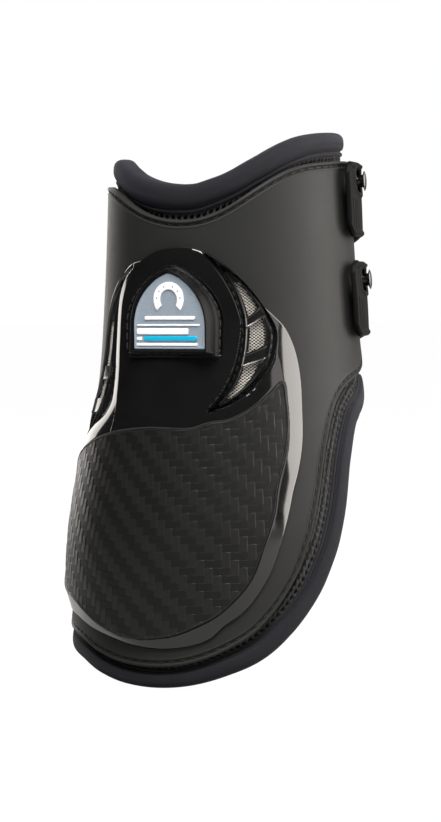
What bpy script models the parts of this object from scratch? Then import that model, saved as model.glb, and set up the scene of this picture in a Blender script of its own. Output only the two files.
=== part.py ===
"""Right hind fetlock boot for a horse, worn over the lower leg.

Frame: +Z up along the leg. The origin is the middle of the boot's outer box,
level with its lowest point; the leg axis stands at (AXIS_X, AXIS_Y). The back
of the boot, with the badge and the strike panel, faces -Y. The open front
faces +Y. The outside (lateral) flank is +X and the inside (medial) flank -X.

Every layer is laid on one guide surface, the outer face of the shell. A point
on it is given by t, the angle round the leg in degrees from the back
centreline (positive towards +X), and z, the design height in millimetres.
Layers differ only in their outline on (t, z) and in d, their distance in
millimetres out from the guide surface.
"""
import math

import bmesh
import bpy
import numpy as np
from mathutils import Matrix, Vector

MM = 0.001

# ---------------------------------------------------------------- dimensions
Z_FLOOR = 6.616                # design height of the lowest point, becomes z = 0
AXIS_X, AXIS_Y = 2.865, 10.38  # where the leg axis stands in the frame
FRONT_DEPTH = 37.0             # leg axis to the front of the guide oval
EDGE_T = 119.0                 # the shell's front edges stand at +/- this angle
SIDES = (("lateral", 1), ("medial", -1))

# guide oval: (height, half width) and (height, depth behind the leg axis)
HALF_WIDTH = [(0, 52.5), (25, 52.0), (50, 51.0), (75, 47.0), (100, 42.8),
              (125, 40.8), (150, 39.2), (180, 37.9)]
BACK_DEPTH = [(0, 59.5), (25, 57.5), (50, 55.0), (75, 50.6), (100, 46.5),
              (125, 44.6), (150, 44.2), (180, 44.0)]

# layer stack: d of the inner and the outer face
SHELL_D = (-2.4, 0.0)
SPACER_D = (-6.8, -4.2)
LINER_D = (-9.6, -7.8)
GEL_D = (-12.5, -10.2)
GUARD_D = (0.8, 2.7)
PANEL_D = (0.8, 3.0)
VENT_MESH_D = (0.45, 0.8)
VENT_FRAME_D = (1.15, 2.3)
GUARD_CUT_D = (-1.0, 5.0)

# edges of the shell and the collar: (t, z)
SHELL_TOP = [(-122, 150), (-100, 152.5), (-85, 156), (-70, 159.5), (-56, 161),
             (-35, 158.5), (-22, 154.6), (-13, 152), (-4, 150.2), (4, 149.3),
             (12, 149.4), (19.5, 150.5), (27, 152.8), (34, 155.7), (42, 159.2),
             (49.5, 162.2), (58, 164.9), (67, 166.5), (77, 167.3), (91, 168),
             (122, 168.4)]
COLLAR_TOP = [(-122, 157.5), (-100, 160.5), (-85, 164), (-70, 168),
              (-60, 169.8), (-51, 169.6), (-36, 166.9), (-28, 165),
              (-22, 163.8), (-16.5, 162.8), (-7.5, 161.5), (0.5, 160.8),
              (7.8, 160.5), (14.5, 160.8), (21, 162), (28, 163.5),
              (34, 165.2), (40.5, 167.4), (47, 169.5), (54, 171.8),
              (61, 173.8), (69, 175.5), (78, 176.6), (89, 177.3), (122, 178)]
SHELL_BOTTOM = [(-122, 86), (-114, 76), (-105, 60), (-95, 44), (-80, 30),
                (-68, 23), (-56, 20.5), (-36, 18.6), (-23.5, 15.8),
                (-11, 13.7), (2.5, 13.2), (14, 14.5), (25, 18), (36, 23.8),
                (42, 29.3), (47, 35.4), (51, 41.6), (54, 47.8), (56.5, 53.2),
                (58.5, 58.4), (61, 64.9), (63.2, 71), (65.5, 77), (68.5, 83),
                (72, 88.6), (77, 94), (84, 97.7), (97.5, 100.6), (108, 102.8),
                (122, 106)]
# knitted band that shows below the shell: (t, width)
LOW_BAND = [(-122, 3.5), (-90, 3.0), (-56, 1.3), (-36, 1.3), (-11, 1.5),
            (2, 1.6), (15, 1.6), (24, 1.9), (32, 2.6), (40, 3.3), (46, 4.2),
            (51, 5.1), (58, 6.2), (65, 6.7), (75, 7.0), (84, 6.6), (90, 5.8),
            (100, 4.6), (112, 3.2), (122, 2.8)]

# closed outlines on the back: (t, z), anticlockwise seen from behind
GUARD_OUTLINE = [(57, 91), (57, 104), (55.3, 111), (52, 117), (47.8, 121.8),
                 (41.4, 126), (34.8, 132), (27.3, 137.2), (22.6, 139.4),
                 (18, 140.9), (13, 141.4), (5.5, 141.4), (0, 140.9),
                 (-4, 140.2), (-7.9, 139.2), (-11.4, 138.4), (-17, 137.8),
                 (-25, 135), (-31.5, 131.5), (-36.8, 126), (-39.6, 120),
                 (-41, 114.5), (-41.8, 109.5), (-43.2, 104), (-46, 98),
                 (-51.3, 91), (-57.5, 84.8), (-64, 79), (-70, 69), (-73, 55),
                 (-71, 41), (-64, 32), (-50, 26.5), (-38, 25), (-28, 23),
                 (-17, 21), (-4, 19), (9, 19), (21, 22), (26, 26), (32, 30),
                 (40, 40), (45, 51), (50, 65), (53, 72), (56, 82)]
GUARD_CENTRE = (-5, 75)
PANEL_OUTLINE = [(49, 86), (49, 93), (47, 99), (43, 96), (37, 92), (28, 88),
                 (21, 87), (13, 85), (5, 85), (-5, 85), (-16, 84), (-29, 82),
                 (-40, 79), (-50, 76), (-60, 71), (-66, 63), (-68, 52),
                 (-66, 42), (-59, 35), (-48, 32), (-39, 31), (-32, 29),
                 (-21, 25), (-9, 22), (3, 22), (9, 23), (17, 26), (23, 29),
                 (29, 34), (34, 40), (37, 47), (39, 52), (42, 60), (44, 69),
                 (47, 77)]
PANEL_CENTRE = (10, 45)
PANEL_GAP = 0.6          # between the strike panel and its opening
GEL_OUTLINE = [(46, 75), (44, 110), (30, 128), (0, 132), (-30, 128),
               (-44, 110), (-52, 75), (-44, 44), (-20, 31), (5, 28),
               (24, 36), (38, 52)]
GEL_CENTRE = (0, 78)

# vent crescents: (t, z) up the arc nearer the back centreline and up the
# outer arc, for the lateral (1) and the medial (-1) side
VENT_INNER = {
    1: [(19.0, 90.6), (24.8, 96.5), (29, 103.2), (31.5, 110.8),
        (32.2, 117.8), (30, 124.5), (26.2, 130.5), (22.2, 135),
        (17.6, 138.8)],
    -1: [(-46.5, 81.5), (-40.5, 85.5), (-35.6, 90.5), (-31.8, 95.8),
         (-29.6, 101), (-28.6, 106), (-28.2, 112), (-27.8, 118),
         (-26.8, 123.5), (-24, 128.8), (-20, 132.6), (-15.4, 135.1)]}
VENT_OUTER = {
    1: [(19.4, 90.0), (27.5, 92.2), (35.2, 96.2), (40.7, 101), (44.8, 106),
        (46.8, 113.8), (45, 118.2), (41, 123), (34.2, 129.8), (26.5, 135.2),
        (18.4, 139.3)],
    -1: [(-47.3, 81.2), (-48.8, 85.5), (-47.6, 90), (-45, 94.5),
         (-41.8, 99.5), (-39.6, 104.5), (-38.4, 109.5), (-37.6, 114.5),
         (-36.4, 119.5), (-34, 124.5), (-29.5, 129.5), (-23.5, 133.2),
         (-16.2, 135.9)]}
# windows in the vent frames: (start, end) by share of the length, bottom up
WINDOWS = {1: ((0.13, 0.31), (0.39, 0.55), (0.63, 0.77)),
           -1: ((0.08, 0.16), (0.24, 0.36), (0.44, 0.72))}
WINDOW_ACROSS = (0.2, 0.8)     # share of the width
VENT_MM_PER_DEGREE = 0.75
VENT_MAX_SHRINK = 0.32         # of the width, from either arc
SHELL_VENT_START, SHELL_VENT_SHARE = 0.17, 0.66  # of the vent's length


# ------------------------------------------------------------ scene and tools
for old in list(bpy.data.objects):
    bpy.data.objects.remove(old, do_unlink=True)


def collection(name):
    col = bpy.data.collections.get(name) or bpy.data.collections.new(name)
    if col.name not in bpy.context.scene.collection.children:
        bpy.context.scene.collection.children.link(col)
    return col


PARTS = collection("fetlock_boot")
CUTTERS = collection("cutters")


def material(name, colour, roughness, metallic=0.0):
    mat = bpy.data.materials.get(name) or bpy.data.materials.new(name)
    mat.use_nodes = True
    bsdf = mat.node_tree.nodes["Principled BSDF"]
    bsdf.inputs["Base Color"].default_value = (*colour, 1.0)
    bsdf.inputs["Roughness"].default_value = roughness
    bsdf.inputs["Metallic"].default_value = metallic
    mat.diffuse_color = (*colour, 1.0)
    return mat


def smooth_curve(points):
    """A function through the points: cubic Hermite with averaged slopes."""
    xs = np.array([p[0] for p in points], float)
    ys = np.array([p[1] for p in points], float)
    chords = np.diff(ys) / np.diff(xs)
    slopes = np.concatenate([[chords[0]], (chords[:-1] + chords[1:]) / 2,
                             [chords[-1]]])

    def value(x):
        x = np.clip(x, xs[0], xs[-1])
        i = int(np.clip(np.searchsorted(xs, x) - 1, 0, len(xs) - 2))
        span = xs[i + 1] - xs[i]
        s = (x - xs[i]) / span
        return float((2 * s**3 - 3 * s**2 + 1) * ys[i]
                     + (s**3 - 2 * s**2 + s) * span * slopes[i]
                     + (-2 * s**3 + 3 * s**2) * ys[i + 1]
                     + (s**3 - s**2) * span * slopes[i + 1])
    return value


half_width = smooth_curve(HALF_WIDTH)
back_depth = smooth_curve(BACK_DEPTH)
shell_top = smooth_curve(SHELL_TOP)
collar_top = smooth_curve(COLLAR_TOP)
shell_bottom = smooth_curve(SHELL_BOTTOM)
low_band = smooth_curve(LOW_BAND)


def on_guide(t, z):
    angle = math.radians(t)
    cosine = math.cos(angle)
    depth = back_depth(z) if cosine > 0 else FRONT_DEPTH
    return Vector((AXIS_X + half_width(z) * math.sin(angle),
                   AXIS_Y - depth * cosine, z - Z_FLOOR))


def outward(t, z):
    """Unit vector square to the guide surface, away from the leg."""
    step = 0.25
    along = (on_guide(t + step, z) - on_guide(t - step, z)).normalized()
    up = (on_guide(t, z + step) - on_guide(t, z - step)).normalized()
    return along.cross(up).normalized()


def point(t, z, d=0.0):
    """Frame position, in metres, of a point given by t, z and d."""
    return (on_guide(t, z) + outward(t, z) * d) * MM


def mm_per_degree(t, z):
    return (on_guide(t + 0.5, z) - on_guide(t - 0.5, z)).length


def new_object(name, data, mat):
    """A part, or, where there is no material, a hidden cutter."""
    obj = bpy.data.objects.new(name, data)
    if mat:
        PARTS.objects.link(obj)
        data.materials.append(mat)
    else:
        CUTTERS.objects.link(obj)
        obj.hide_render = True
        obj.display_type = 'WIRE'
    return obj


def smooth_shade(obj):
    obj.data.shade_smooth()
    obj.data.set_sharp_from_angle(angle=math.radians(35))


def sheet(name, where, cells, depth, mat=None, drop=None):
    """A grid laid on the guide surface and thickened inwards.

    where(u, v), with u and v from 0 to 1, gives (t, z). cells counts the
    grid cells along u and v, depth is d of the inner and the outer face, and
    drop(u, v) says which cells are left out, as openings.
    """
    d_in, d_out = depth
    bm = bmesh.new()
    bmesh.ops.create_grid(bm, x_segments=cells[0], y_segments=cells[1], size=1.0)
    if drop:
        gone = []
        for face in bm.faces:
            middle = face.calc_center_median()
            if drop((middle.x + 1) / 2, (middle.y + 1) / 2):
                gone.append(face)
        bmesh.ops.delete(bm, geom=gone, context='FACES')
    for vert in bm.verts:
        t, z = where((vert.co.x + 1) / 2, (vert.co.y + 1) / 2)
        vert.co = point(t, z, d_out)
    mesh = bpy.data.meshes.new(name)
    bm.to_mesh(mesh)
    bm.free()
    obj = new_object(name, mesh, mat)
    mod = obj.modifiers.new("thickness", 'SOLIDIFY')
    mod.thickness = (d_out - d_in) * MM
    mod.offset = -1.0
    smooth_shade(obj)
    return obj


def square_to_disc(x, y):
    return x * math.sqrt(1 - y * y / 2), y * math.sqrt(1 - x * x / 2)


def blob(outline, centre, grow=0.0, scale=0.82):
    """Map the unit square onto the inside of a closed outline in (t, z).

    The outline is read as distance from the centre by direction, with t
    weighted by scale millimetres to the degree. grow moves it outwards.
    """
    centre_x, centre_z = centre[0] * scale, centre[1]
    polar = sorted((math.atan2(z - centre_z, t * scale - centre_x),
                    math.hypot(z - centre_z, t * scale - centre_x))
                   for t, z in outline)
    # carry the outline on past both ends so that it closes smoothly
    turn = 2 * math.pi
    polar = ([(a - turn, r) for a, r in polar[-3:]] + polar
             + [(a + turn, r) for a, r in polar[:3]])
    radius = smooth_curve(polar)

    def where(u, v):
        x, y = square_to_disc(2 * u - 1, 2 * v - 1)
        share = math.hypot(x, y)
        if share < 1e-9:
            return centre
        angle = math.atan2(y, x)
        reach = (radius(angle) + grow) * share
        return ((centre_x + reach * math.cos(angle)) / scale,
                centre_z + reach * math.sin(angle))
    return where


def between(low, high, t0, t1, round_mm=0.0):
    """Map the unit square between two edge functions of t.

    round_mm rounds the four corners by drawing in the columns near the ends.
    """
    def where(u, v):
        t = t0 + (t1 - t0) * u
        height = high(t) - low(t)
        z = low(t) + height * v
        to_edge = min(v, 1 - v) * height
        if to_edge < round_mm:
            k = 1 - to_edge / round_mm
            inset = round_mm * (1 - math.sqrt(max(0.0, 1 - k * k)))
            half_length = (abs(t1 - t0) / 2) * mm_per_degree(t, z)
            start = max(0.0, 1 - 3 * round_mm / half_length)
            fade = max(0.0, (abs(2 * u - 1) - start) / (1 - start))
            shift = inset * fade / mm_per_degree(t, z)
            t += -shift if (t - (t0 + t1) / 2) > 0 else shift
        return t, z
    return where


def offset_edge(edge, distance):
    """The edge moved sideways on the surface; positive moves it downwards."""
    ts = np.linspace(-121.0, 121.0, 121)
    zs = np.array([edge(t) for t in ts])
    scale = np.array([mm_per_degree(t, z) for t, z in zip(ts, zs)])
    run, rise = scale * np.gradient(ts), np.gradient(zs)
    length = np.hypot(run, rise)
    dist = np.array([distance(t) for t in ts])
    moved_t = ts + dist * rise / length / scale
    moved_z = zs - dist * run / length
    order = np.argsort(moved_t)
    moved_t, moved_z = moved_t[order], moved_z[order]
    return lambda t: float(np.interp(t, moved_t, moved_z))


def cut(obj, cutter):
    mod = obj.modifiers.new("cut", 'BOOLEAN')
    mod.operation = 'DIFFERENCE'
    mod.object = cutter
    mod.solver = 'EXACT'


def turned(name, profile, t, z, mat=None, steps=16):
    """A turned part standing square to the surface at (t, z).

    The profile is (radius, d) points, running down the outside. One that
    starts off the axis is closed into a ring.
    """
    mesh = bpy.data.meshes.new(name)
    verts = [(r * MM, 0.0, d * MM) for r, d in profile]
    edges = [(i, i + 1) for i in range(len(verts) - 1)]
    if profile[0][0] > 0:
        edges.append((len(verts) - 1, 0))
    mesh.from_pydata(verts, edges, [])
    obj = new_object(name, mesh, mat)
    mod = obj.modifiers.new("turn", 'SCREW')
    mod.axis = 'Z'
    mod.steps = mod.render_steps = steps
    mod.use_merge_vertices = True
    mod.merge_threshold = 0.00002
    mod.use_smooth_shade = False
    obj.rotation_euler = outward(t, z).to_track_quat('Z', 'Y').to_euler()
    obj.location = point(t, z)
    return obj


def curve_solid(name, curve, mat, location=(0, 0, 0), rotation=(0, 0, 0)):
    """A mesh made from curve data, with its loose caps welded on."""
    source = bpy.data.objects.new(name, curve)
    source.location = location
    source.rotation_euler = rotation
    PARTS.objects.link(source)
    bpy.context.view_layer.update()
    deps = bpy.context.evaluated_depsgraph_get()
    mesh = bpy.data.meshes.new_from_object(source.evaluated_get(deps))
    bm = bmesh.new()
    bm.from_mesh(mesh)
    bmesh.ops.remove_doubles(bm, verts=bm.verts, dist=0.00001)
    bm.to_mesh(mesh)
    bm.free()
    matrix = source.matrix_world.copy()
    bpy.data.objects.remove(source, do_unlink=True)
    mesh.name = name
    obj = new_object(name, mesh, mat)
    obj.matrix_world = matrix
    if mat:
        smooth_shade(obj)
    return obj


def cord(name, stations, height, d, radius, mat, radius_at=None, sides=2):
    """A round cord through the stations t, at height(t) and distance d."""
    curve = bpy.data.curves.new(name, 'CURVE')
    curve.dimensions = '3D'
    curve.bevel_depth = radius * MM
    curve.bevel_resolution = sides
    curve.use_fill_caps = True
    line = curve.splines.new('POLY')
    line.points.add(len(stations) - 1)
    for knot, t in zip(line.points, stations):
        knot.co = (*point(t, height(t), d), 1.0)
        knot.radius = radius_at(t) / radius if radius_at else 1.0
    return curve_solid(name, curve, mat)


def plate(name, outline, y_face, thick, mat=None):
    """A flat plate from an outline in x and z.

    Its face towards -Y stands at y_face from the leg axis.
    """
    curve = bpy.data.curves.new(name, 'CURVE')
    curve.dimensions = '2D'
    curve.fill_mode = 'BOTH'
    curve.extrude = thick / 2 * MM
    line = curve.splines.new('POLY')
    line.points.add(len(outline) - 1)
    line.use_cyclic_u = True
    for knot, (x, z) in zip(line.points, outline):
        knot.co = (x * MM, (z - Z_FLOOR) * MM, 0, 1)
    return curve_solid(name, curve, mat,
                       (AXIS_X * MM, (AXIS_Y + y_face + thick / 2) * MM, 0),
                       (math.pi / 2, 0, 0))


# ------------------------------------------------------------------ materials
SHELL_TPU = material("shell_tpu", colour=(0.055, 0.055, 0.055), roughness=0.55)
GLOSS = material("guard_gloss", colour=(0.012, 0.012, 0.012), roughness=0.12)
CARBON = material("carbon_weave", colour=(0.02, 0.02, 0.02), roughness=0.35)
STEEL = material("vent_mesh", colour=(0.62, 0.60, 0.57), roughness=0.3,
                 metallic=1.0)
BADGE_BLUE = material("badge", colour=(0.28, 0.33, 0.4), roughness=0.35)
SPACER_KNIT = material("spacer_knit", colour=(0.02, 0.02, 0.022), roughness=0.9)
NEOPRENE = material("neoprene", colour=(0.02, 0.021, 0.03), roughness=0.85)
GEL = material("gel", colour=(0.15, 0.3, 0.42), roughness=0.3)
PIPING = material("piping", colour=(0.02, 0.02, 0.028), roughness=0.7)
STRAP_TPU = material("strap_tpu", colour=(0.02, 0.02, 0.02), roughness=0.4)
ELASTIC = material("elastic", colour=(0.02, 0.02, 0.024), roughness=0.85)
RIVET_METAL = material("rivet_metal", colour=(0.25, 0.25, 0.26), roughness=0.35,
                       metallic=1.0)

# ---------------------------------------------------------- shell and lining
shell = sheet("outer_shell",
              between(shell_bottom, shell_top, -EDGE_T, EDGE_T, round_mm=8.0),
              (44, 11), SHELL_D, SHELL_TPU)


def bell(flank, change, centre_t, spread):
    """A function of t: the flank value plus a bell-shaped change."""
    return lambda t: flank + change * math.exp(-((t - centre_t) / spread) ** 2)


# the upper roll is fuller at the back than on the flanks, the lower thinner
upper_roll_radius = bell(3.3, 0.9, centre_t=-5, spread=45)
lower_roll_radius = bell(3.0, -0.8, centre_t=2, spread=35)


def spacer_top(t):
    return collar_top(t) - 2 * upper_roll_radius(t)


LINING_TUCK_TOP = 1.2     # lining edge below the upper roll
LINING_TUCK_BOTTOM = 1.0  # lining edge above the edge of the knitted band
lining = between(offset_edge(shell_bottom,
                             lambda t: low_band(t) - LINING_TUCK_BOTTOM),
                 lambda t: spacer_top(t) - LINING_TUCK_TOP,
                 -EDGE_T, EDGE_T, round_mm=2.5)
sheet("spacer_mesh_lining", lining, (30, 7), SPACER_D, SPACER_KNIT)
sheet("neoprene_liner", lining, (30, 7), LINER_D, NEOPRENE)
sheet("gel_insert", blob(GEL_OUTLINE, GEL_CENTRE), (10, 10), GEL_D, GEL)

# ------------------------- padded rolls and piping along the lining's edges
UPPER_END_INSET, LOWER_END_INSET = 2, 3   # degrees short of the front edges
UPPER_ROLL_D, UPPER_PIPING_D = -5.4, -3.4
LOWER_ROLL_D, LOWER_PIPING_D = -3.4, -3.2
ROLL_GAP = 0.35           # knitted band to lower roll, upper roll to piping
LOWER_PIPING_RISE = 0.75  # lower piping above the edge of the knitted band


def even_stations(edge, d, count=44):
    """Values of t evenly spaced by length along an edge function."""
    fine = np.linspace(-EDGE_T + LOWER_END_INSET, EDGE_T - LOWER_END_INSET, 400)
    path = [point(t, edge(t), d) for t in fine]
    run = np.concatenate([[0], np.cumsum([(b - a).length for a, b in
                                          zip(path, path[1:])])])
    return [float(t) for t in
            np.interp(np.linspace(0, run[-1], count), run, fine)]


upper_stations = np.linspace(-EDGE_T + UPPER_END_INSET,
                             EDGE_T - UPPER_END_INSET, 36)
cord("upper_collar_roll", upper_stations,
     lambda t: collar_top(t) - upper_roll_radius(t), UPPER_ROLL_D,
     radius=4.0, mat=NEOPRENE, radius_at=upper_roll_radius)
cord("upper_piping", upper_stations, lambda t: spacer_top(t) - ROLL_GAP,
     UPPER_PIPING_D, radius=0.62, mat=PIPING, sides=1)

lower_roll_line = offset_edge(
    shell_bottom, lambda t: low_band(t) + ROLL_GAP + lower_roll_radius(t))
cord("lower_collar_roll", even_stations(lower_roll_line, LOWER_ROLL_D),
     lower_roll_line, LOWER_ROLL_D, radius=3.0, mat=NEOPRENE,
     radius_at=lower_roll_radius)
lower_piping_line = offset_edge(shell_bottom,
                                lambda t: low_band(t) - LOWER_PIPING_RISE)
cord("lower_piping", even_stations(lower_piping_line, LOWER_PIPING_D),
     lower_piping_line, LOWER_PIPING_D, radius=0.55, mat=PIPING, sides=1)

# ------------------------------- bindings beside the lining's front edges
BINDING_GAP, BINDING_END = 0.8, 2.6  # degrees beyond the shell's front edge
BINDING_INSET = 6                    # short of the shell's top and bottom


def front_binding(side, sign):
    bottom = shell_bottom(sign * EDGE_T) + BINDING_INSET
    top = shell_top(sign * EDGE_T) - BINDING_INSET
    t0, t1 = sorted((sign * (EDGE_T + BINDING_GAP), sign * (EDGE_T + BINDING_END)))
    sheet("front_binding_" + side,
          between(lambda t: bottom, lambda t: top, t0, t1),
          (2, 8), (LINER_D[0], SPACER_D[1]), ELASTIC)


for side, sign in SIDES:
    front_binding(side, sign)

# ------------------------------------------------- strike guard on the back
guard = sheet("strike_guard_frame", blob(GUARD_OUTLINE, GUARD_CENTRE), (20, 20),
              GUARD_D, GLOSS)
sheet("carbon_strike_panel", blob(PANEL_OUTLINE, PANEL_CENTRE, grow=-PANEL_GAP),
      (14, 14), PANEL_D, CARBON)
cut(guard, sheet("cut_panel", blob(PANEL_OUTLINE, PANEL_CENTRE), (14, 14),
                 GUARD_CUT_D))


# ---------------------------------------------------------------------- vents
def crescent(sign, grow):
    """Map the unit square onto a vent: u across it, v along its length."""
    def arc(points):
        shares = np.linspace(0, 1, len(points))
        return (smooth_curve(list(zip(shares, [p[0] for p in points]))),
                smooth_curve(list(zip(shares, [p[1] for p in points]))))
    inner_t, inner_z = arc(VENT_INNER[sign])
    outer_t, outer_z = arc(VENT_OUTER[sign])

    def where(u, v):
        # the medial vent runs the other way, so its outside still faces out
        k = v if sign > 0 else 1 - v
        t, z = inner_t(k), inner_z(k)
        dt, dz = outer_t(k) - t, outer_z(k) - z
        width = math.hypot(dt * VENT_MM_PER_DEGREE, dz)
        margin = max(grow, -VENT_MAX_SHRINK * width)
        share = (u * (width + 2 * margin) - margin) / width
        return t + dt * share, z + dz * share
    return where


def vent(side, sign):
    """Frame and mesh of one vent, with its openings in guard and shell."""
    def in_window(u, v):
        k = v if sign > 0 else 1 - v
        return (WINDOW_ACROSS[0] < u < WINDOW_ACROSS[1]
                and any(start < k < end for start, end in WINDOWS[sign]))

    sheet("vent_frame_" + side, crescent(sign, grow=-0.3), (6, 20),
          VENT_FRAME_D, GLOSS, drop=in_window)
    sheet("vent_mesh_" + side, crescent(sign, grow=-0.6), (2, 12),
          VENT_MESH_D, STEEL)
    cut(guard, sheet("cut_vent_" + side, crescent(sign, grow=0.15), (2, 20),
                     GUARD_CUT_D))
    narrow = crescent(sign, grow=-2.2)
    cut(shell, sheet("cut_shell_vent_" + side,
                     lambda u, v: narrow(
                         u, SHELL_VENT_START + SHELL_VENT_SHARE * v),
                     (2, 9), (-5.0, 3.0)))


for side, sign in SIDES:
    vent(side, sign)

# --------------------------------------------------- badge plate and bezel
BADGE_X = 3.2            # badge centreline from the leg axis
BADGE_HALF = 12.4
BADGE_BASE, BADGE_SPRING, BADGE_TOP = 109.8, 117.0, 133.2  # design heights
BADGE_ARCH_POWER = 1.35  # above 1 the arch comes to a point
BADGE_ARCH_STEPS = 12
BADGE_FACE_D = 4.3       # outer face of the badge plate beyond the back
BADGE_REF_Z = 121        # height at which the depth of the back is taken
BADGE_Y = -(back_depth(BADGE_REF_Z) + BADGE_FACE_D)
BADGE_THICK = 1.4
BEZEL_W = 2.6
BEZEL_PROUD = 0.8
BEZEL_THICK = 9.0
BADGE_GAP = 0.3          # round the badge in its bezel, and the bezel in the guard


def badge_outline(grow=0.0):
    """A flat base with a pointed-arch top, anticlockwise in x and z."""
    half = BADGE_HALF + grow
    base = BADGE_BASE - grow
    rise = BADGE_TOP + grow - BADGE_SPRING
    arch = []
    for i in range(BADGE_ARCH_STEPS + 1):
        angle = i / BADGE_ARCH_STEPS * math.pi / 2
        arch.append((half * math.cos(angle) ** BADGE_ARCH_POWER,
                     BADGE_SPRING + rise * math.sin(angle)))
    mirrored = [(-x, z) for x, z in arch[-2::-1]]
    return [(x + BADGE_X, z) for x, z in
            [(-half, base), (half, base)] + arch + mirrored]


plate("badge_plate", badge_outline(), BADGE_Y, BADGE_THICK, BADGE_BLUE)
bezel_core = sheet("cut_core", between(lambda t: 96, lambda t: 145, -34, 34),
                   (18, 8), (-14.0, 0.6))
badge_seat = plate("cut_badge_seat", badge_outline(BADGE_GAP), BADGE_Y - 3, 4.8)
bezel = plate("badge_bezel", badge_outline(BEZEL_W), BADGE_Y - BEZEL_PROUD,
              BEZEL_THICK, GLOSS)
cut(bezel, bezel_core)
cut(bezel, badge_seat)
cut(guard, plate("cut_bezel", badge_outline(BEZEL_W + BADGE_GAP), BADGE_Y - 4,
                 20.0))

# ---------------------------------------------------------------------- straps
STRAPS = {"upper": (156.0, 139.0), "lower": (124.3, 108.0)}  # lateral, medial z
STRAP_HALF_H = 12.5
NARROW_HALF_H = STRAP_HALF_H - 1.0   # elastic band and anchor tab
BAND_D = (1.0, 3.0)
TAB_D = (0.4, BAND_D[1])
TIP_D = (2.0, 4.3)
# t runs on past the front, so the medial flank is also reached from 180 to 360
SLOPE_START_T = 122
TIP_END_T = 88.0
TIP_HINGE_T = 140.5
BAND_HINGE_T = 238.0
TAB_END_T = -98.0
TIP_HINGE_GAP, BAND_HINGE_GAP = 1.2, 1.6    # degrees either side of a hinge
TIP_AXIS_D, BAND_AXIS_D = 4.6, 3.3
FLANK_MM_PER_DEGREE = 0.66

STUD_T = 110.0
STUD_UP = 6.0            # the stud stands this far above the strap's middle
STUD_PLATE_DROP = 2.0    # plate centre below the stud
STUD_PLATE_HALF = (8.0, 8.5)                # degrees, mm
STUD_PLATE_D = (0.35, 1.5)
STUD_HEAD_R = 3.2
STUD_NECK_R = 2.0
# slot over the stud: its two ends and its upper edge, (t, z) from the stud
SLOT_HALF_H = 3.9
SLOT_CORNER_H = SLOT_HALF_H - 1.6
SLOT_ENDS = [(-15.6, 0.0), (8.4, 0.0)]
SLOT_EDGE = [(-14.2, SLOT_CORNER_H), (-12, SLOT_HALF_H), (-3, SLOT_HALF_H),
             (5.2, SLOT_HALF_H), (7.4, SLOT_CORNER_H)]
SLOT_CENTRE_T = STUD_T - 4

RIVET_T = -105.5
RIVET_RISE = 6.5         # either side of the strap's middle
RIVET_SHANK_R = 1.25
RIVET_HEAD_R = 3.6
RIVET_HOLE_R = 1.55
SHANK_END_D = -3.55
HOLE_IN_D = -4.5

# turned profiles: (radius, d), from the outer end inwards
SHANK_END = [(RIVET_SHANK_R, SHANK_END_D), (0, SHANK_END_D)]
STUD_PROFILE = [(0, 5.9), (1.6, 5.85), (2.7, 5.6), (STUD_HEAD_R, 5.2),
                (STUD_HEAD_R, 4.85), (STUD_NECK_R, 4.4), (STUD_NECK_R, 2.0),
                (3.0, 1.85), (RIVET_SHANK_R, 1.85)] + SHANK_END
RIVET_PROFILE = [(0, 4.35), (1.8, 4.25), (3.0, 3.9), (RIVET_HEAD_R, 3.35),
                 (RIVET_SHANK_R, 3.35)] + SHANK_END
WASHER_PROFILE = [(RIVET_HOLE_R, -2.85), (3.4, -2.85), (3.4, -3.5),
                  (RIVET_HOLE_R, -3.5)]


def fasten(names, piece, t, z, profile, hole_out_d, steps):
    """A fastener through a piece and the shell, with a washer behind.

    names are those of the hole cutter, the fastener and the washer.
    """
    hole_name, name, washer_name = names
    hole = turned(hole_name,
                  [(0, hole_out_d), (RIVET_HOLE_R, hole_out_d),
                   (RIVET_HOLE_R, HOLE_IN_D), (0, HOLE_IN_D)], t, z)
    cut(shell, hole)
    cut(piece, hole)
    turned(name, profile, t, z, RIVET_METAL, steps)
    turned(washer_name, WASHER_PROFILE, t, z, RIVET_METAL, steps)


def cut_slot(which, tip, z_stud):
    outline = [(STUD_T + dt, z_stud + dz) for dt, dz in SLOT_ENDS]
    for sign in (1, -1):
        outline += [(STUD_T + dt, z_stud + sign * dz) for dt, dz in SLOT_EDGE]
    cut(tip, sheet("cut_slot_" + which,
                   blob(outline, (SLOT_CENTRE_T, z_stud),
                        scale=FLANK_MM_PER_DEGREE), (6, 6), (0.5, 6.5)))


def stud(which, z_stud):
    """Oval plate, stud and washer on the lateral flank."""
    z_plate = z_stud - STUD_PLATE_DROP
    half_t, half_z = STUD_PLATE_HALF
    oval = [(STUD_T + half_t * math.cos(a), z_plate + half_z * math.sin(a))
            for a in np.linspace(0, 2 * math.pi, 17)[:-1]]
    stud_plate = sheet(which + "_stud_plate",
                       blob(oval, (STUD_T, z_plate), scale=FLANK_MM_PER_DEGREE),
                       (6, 6), STUD_PLATE_D, STRAP_TPU)
    fasten(("cut_stud_" + which, which + "_stud", which + "_stud_washer"),
           stud_plate, STUD_T, z_stud, STUD_PROFILE, hole_out_d=4.0, steps=16)


def hang_on_axis(child, t, z, d):
    """Parent a moving piece to an empty on its joint axis."""
    at = point(t, z, d)
    pivot = bpy.data.objects.new(child.name + "_axis", None)
    pivot.empty_display_size = 0.01
    pivot.location = at
    PARTS.objects.link(pivot)
    child.parent = pivot
    child.matrix_parent_inverse = Matrix.Translation(at).inverted()


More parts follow.
